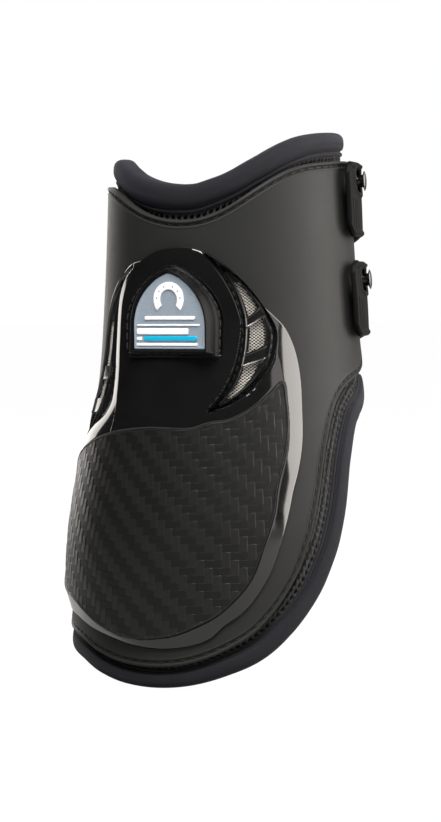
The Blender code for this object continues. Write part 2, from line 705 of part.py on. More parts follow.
def strap(which, z_lateral, z_medial):
    """Tip, elastic band and anchor tab, with their stud and rivets."""
    def middle(t):
        """Height of the strap's centreline."""
        k = (t % 360 - SLOPE_START_T) / (BAND_HINGE_T - SLOPE_START_T)
        return z_lateral + (z_medial - z_lateral) * max(0.0, min(1.0, k))

    def piece(t0, t1, half, round_mm):
        return between(lambda t: middle(t) - half, lambda t: middle(t) + half,
                       t0, t1, round_mm)

    tip = sheet(which + "_strap_tip",
                piece(TIP_END_T, TIP_HINGE_T - TIP_HINGE_GAP, STRAP_HALF_H, 5.0),
                (12, 6), TIP_D, STRAP_TPU)
    band = sheet(which + "_elastic_band",
                 piece(TIP_HINGE_T + TIP_HINGE_GAP, BAND_HINGE_T - BAND_HINGE_GAP,
                       NARROW_HALF_H, 0.0), (14, 3), BAND_D, ELASTIC)
    tab = sheet(which + "_anchor_tab",
                piece(BAND_HINGE_T - 360 + BAND_HINGE_GAP, TAB_END_T,
                      NARROW_HALF_H, 4.0), (6, 5), TAB_D, STRAP_TPU)

    z_stud = z_lateral + STUD_UP
    cut_slot(which, tip, z_stud)
    stud(which, z_stud)

    # two rivets hold the anchor tab on the medial flank
    for tag, rise in (("a", RIVET_RISE), ("b", -RIVET_RISE)):
        fasten((f"cut_rivet_{which}_{tag}", f"{which}_anchor_rivet_{tag}",
                f"{which}_rivet_washer_{tag}"),
               tab, RIVET_T, middle(RIVET_T) + rise, RIVET_PROFILE,
               hole_out_d=5.0, steps=12)

    hang_on_axis(tip, TIP_HINGE_T, middle(TIP_HINGE_T), TIP_AXIS_D)
    hang_on_axis(band, BAND_HINGE_T, middle(BAND_HINGE_T), BAND_AXIS_D)


for which, (z_lateral, z_medial) in STRAPS.items():
    strap(which, z_lateral, z_medial)
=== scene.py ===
"""Looks for a right hind fetlock boot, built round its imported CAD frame.

The leg stands along +Z. The boot's back centreline faces -Y, its front opening faces +Y and
its lateral side is +X. Shapes are laid out on the CAD's design sheet, wrapped round the leg:
  turn  degrees round the leg from the back centreline towards +X
  z     design height in mm
  out   mm outwards from the shell's outer face
"""
import math

import bmesh
import bpy
import numpy as np
from mathutils import Matrix, Vector


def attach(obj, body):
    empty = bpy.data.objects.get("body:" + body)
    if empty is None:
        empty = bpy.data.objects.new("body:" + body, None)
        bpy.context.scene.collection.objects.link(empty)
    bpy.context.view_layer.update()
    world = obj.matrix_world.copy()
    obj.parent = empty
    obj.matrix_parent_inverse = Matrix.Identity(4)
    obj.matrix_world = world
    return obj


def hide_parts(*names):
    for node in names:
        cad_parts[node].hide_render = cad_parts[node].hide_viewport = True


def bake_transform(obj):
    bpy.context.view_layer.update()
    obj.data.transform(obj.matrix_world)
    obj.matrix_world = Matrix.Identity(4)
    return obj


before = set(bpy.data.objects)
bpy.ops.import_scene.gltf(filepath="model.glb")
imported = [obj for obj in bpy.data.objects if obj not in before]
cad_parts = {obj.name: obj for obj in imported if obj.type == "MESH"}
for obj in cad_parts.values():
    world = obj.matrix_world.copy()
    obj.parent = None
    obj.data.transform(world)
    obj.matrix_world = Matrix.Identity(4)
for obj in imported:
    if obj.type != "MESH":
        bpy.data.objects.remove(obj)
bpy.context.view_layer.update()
MM = 0.001

# ------------------------------------------------------------ design sheet
AXIS_X, AXIS_Y = 2.865, 10.38   # the leg's axis in the world, mm
FLOOR_Z = 6.616                 # design height of the world's z = 0
FRONT_DEPTH = 37.0              # axis to the front of the leg
EDGE_TURN = 119.0               # the shell's two front edges
SIDES = (("lateral", 1), ("medial", -1))


def curve(points):
    """A smooth function through points (x, y), constant beyond both ends."""
    known_x, known_y = np.array(points, float).T
    secants = np.diff(known_y) / np.diff(known_x)
    slopes = np.concatenate([[secants[0]], (secants[:-1] + secants[1:]) / 2, [secants[-1]]])

    def value(x):
        x = np.clip(np.asarray(x, float), known_x[0], known_x[-1])
        i = np.clip(np.searchsorted(known_x, x) - 1, 0, len(known_x) - 2)
        step = known_x[i + 1] - known_x[i]
        part = (x - known_x[i]) / step
        return ((2 * part**3 - 3 * part**2 + 1) * known_y[i]
                + (part**3 - 2 * part**2 + part) * step * slopes[i]
                + (-2 * part**3 + 3 * part**2) * known_y[i + 1]
                + (part**3 - part**2) * step * slopes[i + 1])
    return value


# (z, mm from the axis)
half_width = curve([
    (0, 52.5), (25, 52.0), (50, 51.0), (75, 47.0), (100, 42.8), (125, 40.8), (150, 39.2),
    (180, 37.9)])
back_depth = curve([
    (0, 59.5), (25, 57.5), (50, 55.0), (75, 50.6), (100, 46.5), (125, 44.6), (150, 44.2),
    (180, 44.0)])
# (turn, z) of the edges
shell_top = curve([
    (-122, 150), (-100, 152.5), (-85, 156), (-70, 159.5), (-56, 161), (-35, 158.5),
    (-22, 154.6), (-13, 152), (-4, 150.2), (4, 149.3), (12, 149.4), (19.5, 150.5),
    (27, 152.8), (34, 155.7), (42, 159.2), (49.5, 162.2), (58, 164.9), (67, 166.5),
    (77, 167.3), (91, 168), (122, 168.4)])
collar_top = curve([
    (-122, 157.5), (-100, 160.5), (-85, 164), (-70, 168), (-60, 169.8), (-51, 169.6),
    (-36, 166.9), (-28, 165), (-22, 163.8), (-16.5, 162.8), (-7.5, 161.5), (0.5, 160.8),
    (7.8, 160.5), (14.5, 160.8), (21, 162), (28, 163.5), (34, 165.2), (40.5, 167.4),
    (47, 169.5), (54, 171.8), (61, 173.8), (69, 175.5), (78, 176.6), (89, 177.3),
    (122, 178)])
shell_bottom = curve([
    (-122, 86), (-114, 76), (-105, 60), (-95, 44), (-80, 30), (-68, 23), (-56, 20.5),
    (-36, 18.6), (-23.5, 15.8), (-11, 13.7), (2.5, 13.2), (14, 14.5), (25, 18), (36, 23.8),
    (42, 29.3), (47, 35.4), (51, 41.6), (54, 47.8), (56.5, 53.2), (58.5, 58.4), (61, 64.9),
    (63.2, 71), (65.5, 77), (68.5, 83), (72, 88.6), (77, 94), (84, 97.7), (97.5, 100.6),
    (108, 102.8), (122, 106)])
# (turn, width in mm) of the lining band that shows below the shell
low_band = curve([
    (-122, 3.5), (-90, 3.0), (-56, 1.3), (-36, 1.3), (-11, 1.5), (2, 1.6), (15, 1.6),
    (24, 1.9), (32, 2.6), (40, 3.3), (46, 4.2), (51, 5.1), (58, 6.2), (65, 6.7), (75, 7.0),
    (84, 6.6), (90, 5.8), (100, 4.6), (112, 3.2), (122, 2.8)])


def guide(turn, z):
    """Points in mm on the shell's outer face."""
    angle = np.radians(turn)
    depth = np.where(np.cos(angle) > 0, back_depth(z), FRONT_DEPTH)
    return np.stack([AXIS_X + half_width(z) * np.sin(angle),
                     AXIS_Y - depth * np.cos(angle), z - FLOOR_Z + 0 * angle], -1)


def unit(vectors):
    return vectors / np.maximum(np.linalg.norm(vectors, axis=-1, keepdims=True), 1e-12)


def outward(turn, z):
    """Unit normals of the design sheet, away from the leg."""
    step = 0.25
    along = unit(guide(turn + step, z) - guide(turn - step, z))
    up = unit(guide(turn, z + step) - guide(turn, z - step))
    return unit(np.cross(along, up))


def surf(turn, z, out=0.0):
    """World metres of points on the design sheet; arrays of any shape."""
    turn, z, out = np.broadcast_arrays(np.asarray(turn, float), np.asarray(z, float),
                                       np.asarray(out, float))
    return (guide(turn, z) + outward(turn, z) * out[..., None]) * MM


def mm_per_degree(turn, z):
    return np.linalg.norm(guide(turn + 0.5, z) - guide(turn - 0.5, z), axis=-1)


# ------------------------------------------------------------ shaping helpers
def smoothstep(start, end, x):
    part = np.clip((x - start) / (end - start), 0, 1)
    return part * part * (3 - 2 * part)


def ridge(x, at, width, power=2):
    """1 at the given place, falling off on both sides; power 4 is flatter on top."""
    return np.exp(-((x - at) / width) ** power)


def round_edge(inset, radius):
    """0 well inside, falling to -radius at inset 0, as a quarter round."""
    part = np.clip(1 - inset / radius, 0, 1)
    return -radius * (1 - np.sqrt(1 - part * part))


def draw_to(height, level, share):
    """Heights drawn towards a level by a share from 0 to 1."""
    return height - (height - level) * share


def staggered(x, y, pitch, row_pitch):
    """Offsets from the nearest point of a pattern with every other row shifted half."""
    row = np.round(y / row_pitch)
    part = (x / pitch + 0.5 * (row % 2)) % 1 - 0.5
    return part * pitch, (y / row_pitch - row) * row_pitch


def closed(values):
    return np.append(values, values[0])


def ring_angles(count):
    return np.linspace(0, 2 * math.pi, count, endpoint=False)


def cells(values):
    """Grid values averaged over each cell's corners."""
    return (values[:-1, :-1] + values[1:, :-1] + values[:-1, 1:] + values[1:, 1:]) / 4


def line_distance(turn, z, line_turn, line_z, flat=False, chunk=4000):
    """Distance in mm from points to a polyline; flat takes turn as mm in a plane."""
    shape = turn.shape
    turn, z = turn.ravel(), z.ravel()
    scale = np.ones(len(turn)) if flat else mm_per_degree(turn, z)
    start_turn, start_z = line_turn[:-1], line_z[:-1]
    span_turn, span_z = line_turn[1:] - start_turn, line_z[1:] - start_z
    distance = np.empty(len(turn))
    for i in range(0, len(turn), chunk):
        part = slice(i, i + chunk)
        local = scale[part, None]
        to_x, to_z = (turn[part, None] - start_turn) * local, z[part, None] - start_z
        span_x = span_turn * local
        along = np.clip((to_x * span_x + to_z * span_z)
                        / np.maximum(span_x**2 + span_z**2, 1e-9), 0, 1)
        distance[part] = np.sqrt(((to_x - along * span_x)**2
                                  + (to_z - along * span_z)**2).min(1))
    return distance.reshape(shape)


def inside_poly(x, z, poly_x, poly_z):
    """Even-odd test of points against a closed polyline."""
    hit = np.zeros(x.shape, bool)
    for i in range(len(poly_x)):
        j = i - 1
        crosses = (poly_z[i] > z) != (poly_z[j] > z)
        if not crosses.any():
            continue
        cross_x = (poly_x[j] - poly_x[i]) * (z - poly_z[i]) \
            / (poly_z[j] - poly_z[i] + 1e-12) + poly_x[i]
        hit ^= crosses & (x < cross_x)
    return hit


def signed_distance(x, z, poly_x, poly_z, flat=False):
    """Distance to a closed polyline, positive inside."""
    distance = line_distance(x, z, closed(poly_x), closed(poly_z), flat)
    return np.where(inside_poly(x, z, poly_x, poly_z), distance, -distance)


def polar(outline, centre, scale):
    """Distance from the centre by direction, as the CAD reads outlines."""
    centre_x, centre_z = centre[0] * scale, centre[1]
    points = sorted((math.atan2(z - centre_z, turn * scale - centre_x),
                     math.hypot(z - centre_z, turn * scale - centre_x))
                    for turn, z in outline)
    full = 2 * math.pi
    return curve([(angle - full, reach) for angle, reach in points[-3:]] + points
                 + [(angle + full, reach) for angle, reach in points[:3]])


class Outline:
    """A closed outline: its polyline, an inside test and a grid that fills it.

    scale is the nominal mm per degree; grow moves the outline outwards in mm.
    """

    def __init__(self, points, centre, grow=0.0, scale=0.82):
        self.centre, self.scale, self.grow = centre, scale, grow
        self.radius = polar(points, centre, scale)
        angle = np.linspace(-math.pi, math.pi, 481)
        reach = self.radius(angle) + grow
        self.turn = centre[0] + reach * np.cos(angle) / scale
        self.z = centre[1] + reach * np.sin(angle)

    def signed(self, turn, z):
        """Distance to the outline, positive inside."""
        x, y = (turn - self.centre[0]) * self.scale, z - self.centre[1]
        inside = np.hypot(x, y) < self.radius(np.arctan2(y, x)) + self.grow
        return line_distance(turn, z, self.turn, self.z) * np.where(inside, 1, -1)

    def grid(self, count, dense=0.0):
        """A square grid mapped onto the outline; dense shifts its spacing."""
        steps = np.linspace(-1, 1, count)
        steps = steps + dense * np.sin(math.pi * steps) / math.pi
        x, y = np.meshgrid(steps, steps, indexing="ij")
        x, y = x * np.sqrt(1 - y * y / 2), y * np.sqrt(1 - x * x / 2)
        angle = np.arctan2(y, x)
        reach = (self.radius(angle) + self.grow) * np.hypot(x, y)
        return (self.centre[0] + reach * np.cos(angle) / self.scale,
                self.centre[1] + reach * np.sin(angle))


def spine(points):
    """An open line of (turn, z) points as two functions of 0 to 1."""
    share = np.linspace(0, 1, len(points))
    return [curve(list(zip(share, column))) for column in zip(*points)]


# ------------------------------------------------------------- mesh builders
def new_mesh(name, verts, faces, uv=None, mat=None, sharp=55, **attributes):
    """A smooth-shaded object with edges over `sharp` degrees marked sharp."""
    mesh = bpy.data.meshes.new(name)
    mesh.vertices.add(len(verts))
    mesh.vertices.foreach_set("co", np.asarray(verts, np.float32).ravel())
    sizes = np.array([len(face) for face in faces])
    corners = np.concatenate(faces)
    mesh.loops.add(len(corners))
    mesh.loops.foreach_set("vertex_index", corners.astype(np.int32))
    mesh.polygons.add(len(sizes))
    starts = np.concatenate([[0], np.cumsum(sizes)[:-1]])
    mesh.polygons.foreach_set("loop_start", starts.astype(np.int32))
    mesh.update(calc_edges=True)
    mesh.validate()
    if uv is not None:
        layer = mesh.uv_layers.new(name="mm")
        index = np.empty(len(mesh.loops), np.int32)
        mesh.loops.foreach_get("vertex_index", index)
        layer.data.foreach_set("uv", np.asarray(uv, np.float32)[index].ravel())
    for key, values in attributes.items():
        attribute = mesh.attributes.new(key, 'FLOAT', 'POINT')
        attribute.data.foreach_set("value", np.asarray(values, np.float32))
    mesh.shade_smooth()
    mesh.set_sharp_from_angle(angle=math.radians(sharp))
    obj = bpy.data.objects.new(name, mesh)
    bpy.context.scene.collection.objects.link(obj)
    if mat:
        mesh.materials.append(mat)
    return obj


def done(obj, slot, *nodes, body="boot"):
    """Attach a piece to its body and hide the CAD parts it replaces; slot is not used."""
    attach(obj, body)
    if nodes:
        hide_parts(*nodes)


def grid_solid(name, turn, z, outer, inner, mat, keep=None, sharp=55, **attributes):
    """A closed sheet between two heights over a grid of (turn, z).

    keep marks the cells that are solid; the others are through openings.
    """
    rows, columns = turn.shape
    verts = np.concatenate([surf(turn, z, outer).reshape(-1, 3),
                            surf(turn, z, inner).reshape(-1, 3)])
    layer = rows * columns
    if keep is None:
        keep = np.ones((rows - 1, columns - 1), bool)
    i, j = np.nonzero(keep)
    # the cell's corners in order round it
    first, second = i * columns + j, (i + 1) * columns + j
    third, fourth = second + 1, first + 1
    faces = [np.stack([first, second, third, fourth], 1),
             np.stack([fourth, third, second, first], 1) + layer]
    padded = np.zeros((rows + 1, columns + 1), bool)
    padded[1:-1, 1:-1] = keep
    for step_i, step_j, start, end in ((0, -1, second, first), (1, 0, third, second),
                                       (0, 1, fourth, third), (-1, 0, first, fourth)):
        is_open = ~padded[i + 1 + step_i, j + 1 + step_j]
        start, end = start[is_open], end[is_open]
        faces.append(np.stack([start, end, end + layer, start + layer], 1))
    faces = np.concatenate(faces)
    uvs = np.stack([turn * 0.8, z], -1).reshape(-1, 2)
    uvs = np.concatenate([uvs, uvs])
    used = np.unique(faces)
    remap = np.full(len(verts), -1)
    remap[used] = np.arange(len(used))
    attributes = {key: np.concatenate([values.ravel()] * 2)[used]
                  for key, values in attributes.items()}
    return new_mesh(name, verts[used], remap[faces], uvs[used], mat, sharp, **attributes)


def loft_faces(count, size, order=(0, 1, 2, 3), loop=False):
    """Quads between rings of points, with lids unless the rings form a loop.

    order gives the quads' corners, and with them the winding and the diagonal.
    """
    i, j = np.meshgrid(np.arange(count if loop else count - 1), np.arange(size),
                       indexing="ij")
    ahead, after = (i + 1) % count, (j + 1) % size
    quads = np.stack([i * size + j, i * size + after, ahead * size + after,
                      ahead * size + j], -1).reshape(-1, 4)[:, list(order)]
    if loop:
        return list(quads)
    lid = np.arange(size)
    turned_lid = lid[::-1]
    if order != (0, 1, 2, 3):
        lid, turned_lid = turned_lid, lid
    return list(quads) + [turned_lid, lid + (count - 1) * size]


def sweep(name, stations, angles, mat, order=(0, 1, 2, 3)):
    """Loft stations of (centre, ring points, radius in mm for the UVs)."""
    run, last, uvs = 0.0, stations[0][0], []
    for centre, _, radius in stations:
        run += np.linalg.norm(centre - last) / MM
        last = centre
        uvs.append(np.stack([np.full(len(angles), run), angles * radius], 1))
    verts = np.concatenate([points for _, points, _ in stations])
    faces = loft_faces(len(stations), len(angles), order)
    return new_mesh(name, verts, faces, np.concatenate(uvs), mat, sharp=80)


def capped(count, caps):
    """(index, size, end) of the rings of a sweep whose ends shrink by caps."""
    return [(0, size, -1) for size in caps] + [(i, 1.0, 0) for i in range(count)] \
        + [(count - 1, size, 1) for size in caps[::-1]]


def tube(name, path, radii, mat, ring, flat=None):
    """A round-ended tube along points in metres, with an oval section in mm.

    flat gives the direction of the first radius at each point.
    """
    tangent = unit(np.gradient(path, axis=0))
    if flat is None:
        flat = unit(np.cross(tangent, np.array([0, 0, 1.0])))
    flat = unit(flat - (flat * tangent).sum(1, keepdims=True) * tangent)
    side = np.cross(tangent, flat)
    radii = np.array(radii)
    angles = ring_angles(ring)
    stations = []
    for i, size, end in capped(len(path), [0.0, 0.16, 0.36, 0.58, 0.8]):
        back = math.sqrt(1 - size * size) * radii.mean() * MM
        centre = path[i] + end * tangent[i] * back
        section = radii * max(size, 0.02)
        points = centre + (np.cos(angles)[:, None] * flat[i] * section[0]
                           + np.sin(angles)[:, None] * side[i] * section[1]) * MM
        stations.append((centre, points, section.mean()))
    return sweep(name, stations, angles, mat)


# one stitch by share of its length: thickness and height, in radii
STITCH_STEPS = np.array([0, 0.06, 0.2, 0.5, 0.8, 0.94, 1.0])
STITCH_FAT = np.array([0.25, 0.72, 1.0, 1.0, 1.0, 0.72, 0.25])
STITCH_DIP = np.array([-1.0, -0.45, 0.1, 0.35, 0.1, -0.45, -1.0])


def stitches(name, turn, z, out, length, gap, radius, lift=0.0, slot="piping", body="boot"):
    """Separate capsule stitches along a line on the design sheet."""
    line = surf(turn, z, out) / MM
    run = np.concatenate([[0], np.cumsum(np.linalg.norm(np.diff(line, axis=0), axis=1))])
    normals = outward(turn, z)
    angles = ring_angles(8)
    around, over = np.cos(angles)[:, None], np.sin(angles)[:, None]
    pattern = loft_faces(len(STITCH_STEPS), len(angles))

    def along(values, places):
        return np.stack([np.interp(places, run, values[:, k]) for k in range(3)], 1)

    verts, faces = [], []
    start = gap / 2
    while start + length < run[-1]:
        places = start + STITCH_STEPS * length
        up = unit(along(normals, places))
        centres = along(line, places) + up * (lift + STITCH_DIP[:, None] * radius)
        tangent = unit(np.gradient(centres, axis=0))
        side = unit(np.cross(tangent, up))
        up = np.cross(side, tangent)
        base = len(verts) * len(STITCH_STEPS) * len(angles)
        rings = centres[:, None] + radius * STITCH_FAT[:, None, None] * (
            around * side[:, None] + over * up[:, None])
        verts.append(rings.reshape(-1, 3))
        faces += [face + base for face in pattern]
        start += length + gap
    obj = new_mesh(name, np.concatenate(verts) * MM, faces, mat=THREAD, sharp=80)
    done(obj, slot, body=body)


# ------------------------------------------------------------------ materials
class Shader:
    """Shorthand for building one node tree; plain values or sockets feed any input."""

    def __init__(self, tree):
        self.tree = tree
        self.bsdf = tree.nodes.get("Principled BSDF")

    def new(self, kind):
        return self.tree.nodes.new(kind)

    def feed(self, socket, value):
        if isinstance(value, bpy.types.NodeSocket):
            self.tree.links.new(value, socket)
        else:
            socket.default_value = value

    def put(self, target, **inputs):
        """Feed a node's inputs by name, with _ for each space."""
        for key, value in inputs.items():
            self.feed(target.inputs[key.replace("_", " ")], value)

    def surface(self, **inputs):
        self.put(self.bsdf, **inputs)

    def coords(self, kind="Object"):
        return self.new("ShaderNodeTexCoord").outputs[kind]

    def stretched(self, vector, z_scale):
        mapping = self.new("ShaderNodeMapping")
        self.put(mapping, Scale=(1.0, 1.0, z_scale), Vector=vector)
        return mapping.outputs["Vector"]

    def sheet_mm(self):
        """The UV map's two directions, in mm."""
        uv = self.new("ShaderNodeUVMap")
        uv.uv_map = "mm"
        split = self.new("ShaderNodeSeparateXYZ")
        self.feed(split.inputs[0], uv.outputs["UV"])
        return split.outputs[0], split.outputs[1]

    def attribute(self, name):
        source = self.new("ShaderNodeAttribute")
        source.attribute_name = name
        return source.outputs["Fac"]

    def noise(self, vector, scale, detail, rough=0.55):
        texture = self.new("ShaderNodeTexNoise")
        self.put(texture, Scale=scale, Detail=detail, Roughness=rough, Vector=vector)
        return texture.outputs["Fac"]

    def maths(self, operation, *values):
        result = self.new("ShaderNodeMath")
        result.operation = operation
        for socket, value in zip(result.inputs, values):
            self.feed(socket, value)
        return result.outputs[0]

    def wave(self, source, radians):
        """A sine wave at so many radians per unit."""
        return self.maths('SINE', self.maths('MULTIPLY', source, radians))

    def weighted(self, *terms):
        """The sum of (source, weight) pairs."""
        total = None
        for source, weight in terms:
            term = self.maths('MULTIPLY', source, weight)
            total = term if total is None else self.maths('ADD', total, term)
        return total

    def ramp(self, source, *stops):
        """A colour ramp of (position, colour) stops."""
        result = self.new("ShaderNodeValToRGB")
        elements = result.color_ramp.elements
        while len(elements) < len(stops):
            elements.new(0.5)
        for element, (position, colour) in zip(elements, stops):
            element.position = position
            element.color = (*colour, 1)
        self.put(result, Fac=source)
        return result.outputs["Color"]

    def mix_colour(self, share, first, second):
        mix = self.new("ShaderNodeMix")
        mix.data_type = 'RGBA'
        for socket, value in ((0, share), (6, first), (7, second)):
            self.feed(mix.inputs[socket], value)
        return mix.outputs[2]

    def bump(self, height, strength, distance):
        result = self.new("ShaderNodeBump")
        self.put(result, Strength=strength, Distance=distance, Height=height)
        self.surface(Normal=result.outputs["Normal"])


def material(name):
    mat = bpy.data.materials.new(name)
    mat.use_nodes = True
    return mat, Shader(mat.node_tree)


def shades(colour, spread):
    """A colour darkened and lightened by a share of itself."""
    return [c * (1 - spread) for c in colour], [c * (1 + spread) for c in colour]


def plain(name, colour, rough, spread, grain=3000.0, grain_depth=0.00001, rough_spread=0.08,
          metal=0.0, spec=0.5, coat=0.0, blotch=90.0):
    """A moulded or metal finish: uneven tone, uneven gloss and a fine grain.

    grain and blotch are noise scales per metre; grain_depth is in metres.
    """
    mat, shader = material(name)
    vector = shader.coords()
    dark, light = shades(colour, spread)
    tone = shader.noise(vector, blotch, detail=3)
    shader.surface(Base_Color=shader.ramp(tone, (0.3, dark), (0.7, light)))
    gloss = shader.noise(vector, blotch * 7, detail=4)
    shader.surface(
        Roughness=shader.maths('MULTIPLY_ADD', gloss, 2 * rough_spread, rough - rough_spread),
        Metallic=metal, Specular_IOR_Level=spec, Coat_Weight=coat, Coat_Roughness=0.06)
    if grain_depth:
        shader.bump(shader.noise(vector, grain, detail=2), strength=0.6,
                    distance=grain_depth)
    return mat


def fabric(name, colour, pitch, depth, sheen, rough=0.9, tint=(0.5, 0.5, 0.62), dark=None):
    """A knitted or woven face: crossed ribs `pitch` mm apart and `depth` metres deep.

    dark names a mesh attribute whose pits get painted shade, near black.
    """
    mat, shader = material(name)
    across, up = shader.sheet_mm()
    turns = 2 * math.pi / pitch
    crossed = shader.maths('MULTIPLY', shader.wave(across, turns),
                           shader.wave(up, turns * 0.8))
    weave = shader.maths('MULTIPLY_ADD', crossed, 0.5, 0.5)
    vector = shader.coords()
    fuzz = shader.noise(vector, scale=5200.0, detail=3, rough=0.7)
    broad = shader.noise(vector, scale=120.0, detail=4)
    height = shader.weighted((weave, 0.7), (fuzz, 0.6))
    # the colour follows the relief, darker in the weave's hollows: painted shade; the fuzz and
    # broad noise add random tone
    tone = shader.weighted((height, 0.55), (broad, 0.45))
    low, high = shades(colour, 0.25)
    base = shader.ramp(tone, (0.3, low), (0.75, high))
    if dark:
        # painted shade: the pits' base colour goes near black
        base = shader.mix_colour(shader.attribute(dark), base, (0.0008, 0.0008, 0.0008, 1))
    shader.surface(Base_Color=base, Roughness=rough, Specular_IOR_Level=0.25,
                   Sheen_Weight=sheen, Sheen_Roughness=0.45, Sheen_Tint=(*tint, 1))
    shader.bump(height, strength=0.8, distance=depth)
    return mat


def elastic_material():
    """Dark webbing with ribs along it and finer ticks across."""
    mat, shader = material("elastic_ribbed")
    along, up = shader.sheet_mm()
    rib = shader.wave(up, radians=5.2)
    tick = shader.wave(along, radians=8.5)
    fuzz = shader.noise(shader.coords(), scale=4200.0, detail=3)
    height = shader.weighted((rib, 0.32), (tick, 0.16), (fuzz, 0.3))
    # the colour follows the relief, darker between the ribs and ticks: painted shade; the fuzz
    # adds random tone
    shader.surface(
        Base_Color=shader.ramp(shader.maths('ADD', height, 0.45),
                               (0.15, (0.004, 0.004, 0.0045)), (0.9, (0.018, 0.018, 0.020))),
        Roughness=0.8, Sheen_Weight=0.1)
    shader.bump(height, strength=0.9, distance=0.00022)
    return mat


def carbon_material():
    """Satin black twill: warp tows get a lighter base colour as a painted reflection, and the
    tows differ a little in gloss.
    """
    mat, shader = material("carbon_twill")
    tow = shader.attribute("tow")
    vector = shader.coords()
    spots = shader.noise(vector, scale=2600.0, detail=3)
    broad = shader.noise(vector, scale=70.0, detail=3)
    # the tow term paints the warp lighter: painted reflection; spots and broad noise are
    # random tone
    tone = shader.weighted((tow, 0.5), (spots, 0.34), (broad, 0.24))
    shader.surface(
        Base_Color=shader.ramp(tone, (0.15, (0.0036, 0.0036, 0.0034)),
                               (0.85, (0.0130, 0.0130, 0.0125))),
        Roughness=shader.maths('MULTIPLY_ADD', tow, -0.08, 0.46), Specular_IOR_Level=0.24)
    fibre = shader.noise(shader.stretched(vector, z_scale=0.12), scale=6000.0, detail=2)
    shader.bump(shader.weighted((fibre, 0.5), (spots, 0.6)), strength=0.4,
                distance=0.00003)
    return mat


def badge_material():
    """Satin slate-blue plate with a fine brushed grain."""
    mat, shader = material("badge_slate")
    brushed = shader.noise(shader.stretched(shader.coords(), z_scale=9.0), scale=900.0,
                           detail=4)
    shader.surface(
        Base_Color=shader.ramp(brushed, (0.25, (0.29, 0.35, 0.42)),
                               (0.8, (0.41, 0.48, 0.55))),
        Metallic=0.35, Roughness=0.42)
    shader.bump(brushed, strength=0.3, distance=0.00002)
    return mat


def gel_material():
    """Clear blue gel."""
    mat, shader = material("gel_blue_clear")
    vector = shader.coords()
    tone = shader.noise(vector, scale=140.0, detail=3)
    shader.surface(
        Base_Color=shader.ramp(tone, (0.3, (0.10, 0.17, 0.24)), (0.7, (0.16, 0.25, 0.33))),
        Roughness=0.22, Subsurface_Weight=0.25, Subsurface_Scale=0.003, Coat_Weight=0.3)
    shader.bump(shader.noise(vector, scale=900.0, detail=3), strength=0.3,
                distance=0.00003)
    return mat


SHELL = plain("shell_tpu_matte", (0.0186, 0.0189, 0.0182), rough=0.5, spread=0.07,
              grain=3600.0, grain_depth=0.00004, rough_spread=0.05, spec=0.12, blotch=60.0)
GLOSS = plain("guard_gloss_black", (0.006, 0.006, 0.006), rough=0.085, spread=0.2,
              grain_depth=0.0, rough_spread=0.03, coat=0.15, blotch=50.0)
RIM = plain("vent_gloss_black", (0.008, 0.008, 0.008), rough=0.16, spread=0.2,
            grain=2500.0, grain_depth=0.000008, rough_spread=0.05, coat=0.2)
STEEL = plain("vent_mesh_steel", (0.86, 0.82, 0.76), rough=0.42, spread=0.1,
              grain=4000.0, metal=0.55)
TPU = plain("strap_tpu_black", (0.0032, 0.0032, 0.0034), rough=0.55, spread=0.15,
            grain=2600.0, grain_depth=0.00003, rough_spread=0.06, spec=0.07)
SATIN = plain("bezel_satin_black", (0.004, 0.004, 0.004), rough=0.4, spread=0.2,
              grain=1800.0, rough_spread=0.05, spec=0.08)
METAL = plain("stud_dark_nickel", (0.11, 0.11, 0.115), rough=0.3, spread=0.12,
              rough_spread=0.1, metal=1.0)
WHITE = plain("emblem_white", (0.96, 0.97, 0.98), rough=0.35, spread=0.03)
CYAN = plain("emblem_cyan", (0.0, 0.42, 0.66), rough=0.35, spread=0.05)
NEOPRENE = fabric("neoprene_jersey", (0.0068, 0.0068, 0.0092), pitch=0.6, depth=0.00010,
                  sheen=0.07, tint=(0.45, 0.45, 0.60))
LINER = fabric("liner_jersey", (0.016, 0.016, 0.02), pitch=0.8, depth=0.00014, sheen=0.3)
# its holes get painted shade, near black, from the pit attribute
KNIT = fabric("spacer_knit", (0.034, 0.034, 0.0335), pitch=0.42, depth=0.00016, sheen=0.10,
              tint=(0.55, 0.55, 0.55), dark="pit")
CORD = fabric("piping_cord", (0.007, 0.007, 0.009), pitch=0.5, depth=0.00012, sheen=0.08)
THREAD = fabric("thread_black", (0.013, 0.013, 0.013), pitch=0.3, depth=0.00006,
                sheen=0.15, rough=0.7)
ELASTIC = elastic_material()
CARBON = carbon_material()
BADGE = badge_material()
GEL = gel_material()


# ------------------------------------------------------------ edges and rows
def offset_edge(edge, distance):
    """The edge moved sideways on the surface; positive moves it downwards."""
    turn = np.linspace(-121.0, 121.0, 484)
    z = edge(turn)
    scale = mm_per_degree(turn, z)
    step_x, step_z = scale * np.gradient(turn), np.gradient(z)
    size = np.hypot(step_x, step_z)
    shift = distance(turn) if callable(distance) else distance
    moved, moved_z = turn + shift * step_z / size / scale, z - shift * step_x / size
    order = np.argsort(moved)
    moved, moved_z = moved[order], moved_z[order]
    return lambda turn: np.interp(turn, moved, moved_z)


def parallel_rows(low, high, low_insets, high_insets, between):
    """Row functions of turn that run parallel to the two edges near them."""
    rows = [offset_edge(low, -inset) for inset in low_insets]
    first, last = rows[-1], offset_edge(high, high_insets[-1])
    for share in np.linspace(0, 1, between + 2)[1:-1]:
        rows.append(lambda turn, share=share:
                    first(turn) + (last(turn) - first(turn)) * share)
    return rows + [offset_edge(high, inset) for inset in high_insets[::-1]]


